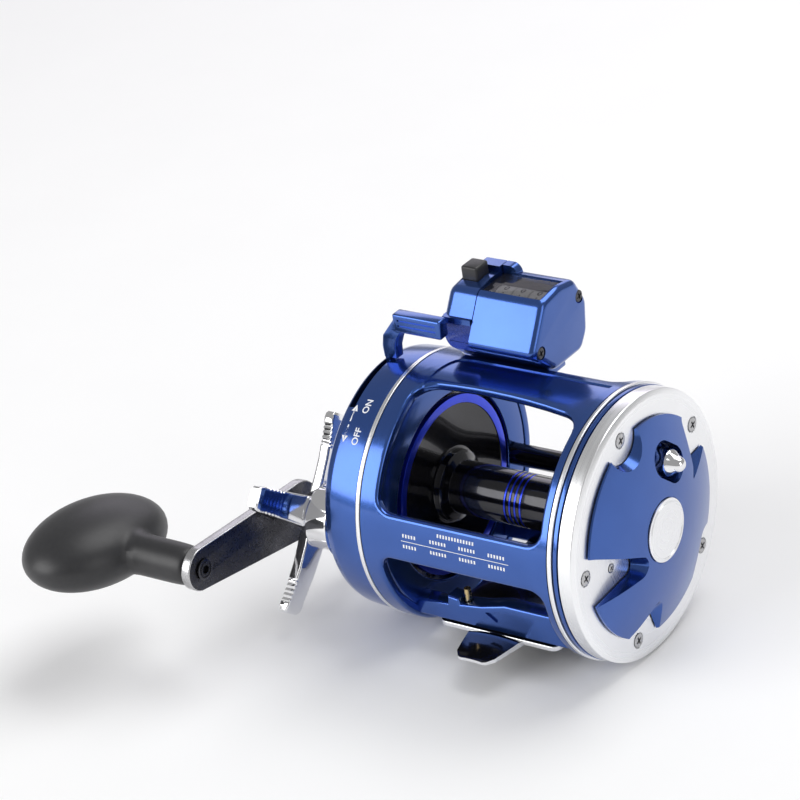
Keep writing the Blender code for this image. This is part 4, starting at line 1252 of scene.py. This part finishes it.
def counter():
    x0, x1 = COUNTER_X
    body = counter_shell("counter_body_fine", x1, x0, 2.0)
    cut(body, block("opening", (x0 - 1, x1 - 1.8), (9.6, 21.4), (56.4, 62.0)))
    cut(body, *(rod("seat", x1 - 1.0, x1 + 1, 2.0, y, z, 32) for y, z in ((25.6, 52.4), (4.6, 44.9))))
    show(body, "counter_body", angle=28)
    for name, y, z in (("upper", 25.6, 52.4), ("lower", 4.6, 44.9)):
        node = f"counter_screw_{name}"
        cross_head(node + "_fine", node, x1 - 0.1, y, z, 1.7, 0.6, 0.35, "steel_dark")
    g0, g1 = GEARBOX_X
    gearbox = counter_shell("counter_gearbox_fine", g0, g1, 3.0)
    cut(gearbox, block("opening", (-24.3, -18.3), (12.7, 19.3), (56.5, 66.0)))
    cut(gearbox, block("undercut", (-30, -10), (-3, 4.4), (40, 50.2)))
    wall = block("wall", (g0 + 0.5, g1), (4.4, 6.0), (44.0, 51.8))
    roof = block("roof", (g0 + 0.8, g1), (3.2, 6.0), (50.2, 51.8))
    join(gearbox, wall, roof)

    # Painted shade: the undercut's walls and roof get the darker blue_dark copy of the anodising, since that
    # recess falls in shade.
    def hidden_side(middle, _):
        return middle.y < 6.2 and 41 < middle.z < 50.4 and abs(middle.x - (g0 + g1) / 2) < 5.0

    painted(gearbox, "blue_anodised", "blue_dark", hidden_side)
    show(gearbox, "counter_gearbox", angle=28)
    show(block("counter_window_fine", (x0 + 0.3, x1 - 2.1), (9.9, 21.1), (57.5, 58.3), 0.15), "counter_window")
    show(block("reset_button_fine", (-24.0, -18.6), (13.0, 19.0), (56.0, 62.8), 0.7), "reset_button")
    middle = x0 + 2.2
    for name in ("hundreds", "tens", "ones"):
        number_wheel(name, middle)
        middle += WHEEL_WIDTH + 0.4


def number_wheel(name, x0):
    node = f"number_wheel_{name}"
    x1 = x0 + WHEEL_WIDTH
    profile = [(x0, 1.6), (x0, WHEEL_R - 0.1), (x1, WHEEL_R - 0.1), (x1, 1.6)]
    wheel = painted(turned("wheel", profile, WHEEL_Y, WHEEL_Z, 80, 0.15), "plastic_white")
    parts = [wheel]
    for digit in range(10):
        skin = lettering(str(digit), 3.0)
        for vertex in skin.verts:
            u, v, lift = vertex.co
            degrees = 90 + 36 * digit + math.degrees(-v / WHEEL_R)
            y, z = polar(WHEEL_R - 0.06 + lift, degrees, WHEEL_Y, WHEEL_Z)
            vertex.co = ((x0 + x1) / 2 + u, y, z)
        parts.append(painted(made_of("digit", skin, placed(0, 0, 0, UPRIGHT)), "digit_black"))
    show(gathered(node + "_fine", parts), node)


# ---- Build ----

frame_pieces()
accent_ring("accent_ring_left", -33.2)
accent_ring("accent_ring_right", 29.3)
handle_side_cover()
capacity_marks()
tension_cap()
star_wheel()
handle()
knob_spindle()
knob()
free_spool_lever()
spool()
worm_shaft()
level_wind_tube()
line_guide()
palm_side_plate()
trim_ring()
palm_dome()
clicker_button()
foot()
counter()

for node, thing in frame["nodes"].items():
    thing.data.materials.clear()
    thing.data.materials.append(PAINTS[SLOT_OF[node]])


# ---- Stage, light and camera ----


def stage():
    mesh = bpy.data.meshes.new("floor")
    skin = bmesh.new()
    bmesh.ops.create_grid(skin, x_segments=1, y_segments=1, size=6.0)
    skin.to_mesh(mesh)
    skin.free()
    floor = bpy.data.objects.new("floor", mesh)
    bpy.context.scene.collection.objects.link(floor)
    floor.location.z = FLOOR_Z * MM
    paper = Finish("floor_paper", (0.95, 0.95, 0.95), 0.0, 0.85)
    paper.vary_colour(paper.grain(40.0), (0.94, 0.94, 0.94))
    mesh.materials.append(paper.material)


def softbox(name, place, size, watts, tall=None, colour=(1, 1, 1)):
    """An area light aimed at the reel. Its place and sizes are in metres."""
    lamp = bpy.data.lights.new(name, "AREA")
    lamp.shape = "RECTANGLE"
    lamp.size = size
    lamp.size_y = tall or size
    lamp.energy = watts
    lamp.color = colour
    made = bpy.data.objects.new(name, lamp)
    bpy.context.scene.collection.objects.link(made)
    made.location = place
    aim = Vector(LIGHT_TARGET) - Vector(place)
    made.rotation_euler = aim.to_track_quat("-Z", "Y").to_euler()


def camera():
    lens = bpy.data.cameras.new("camera")
    lens.lens = CAMERA_LENS
    lens.sensor_width = 36
    lens.clip_end = 20
    made = bpy.data.objects.new("camera", lens)
    bpy.context.scene.collection.objects.link(made)
    right, up, back = CAMERA_RIGHT, CAMERA_UP, CAMERA_BACK
    turn = Matrix((right, up, back)).transposed().to_4x4()
    made.matrix_world = Matrix.Translation(Vector(CAMERA_PLACE) * MM) @ turn
    bpy.context.scene.camera = made


def studio_world():
    world = bpy.data.worlds.new("studio")
    world.use_nodes = True
    background = world.node_tree.nodes["Background"]
    background.inputs["Color"].default_value = (1, 1, 1, 1)
    background.inputs["Strength"].default_value = WORLD_STRENGTH
    bpy.context.scene.world = world


stage()
softbox("key", (-0.6, -1.0, 0.52), 1.0, 10, 0.85)
softbox("top", (0.2, 0.5, 1.1), 0.9, 8)
softbox("back", (-0.5, 1.0, 0.5), 0.9, 1.8, 0.5, (0.93, 0.88, 1.0))
softbox("side", (1.1, -0.25, 0.45), 0.5, 2.0, 0.8)
studio_world()
bpy.context.scene.view_settings.view_transform = "Standard"
camera()
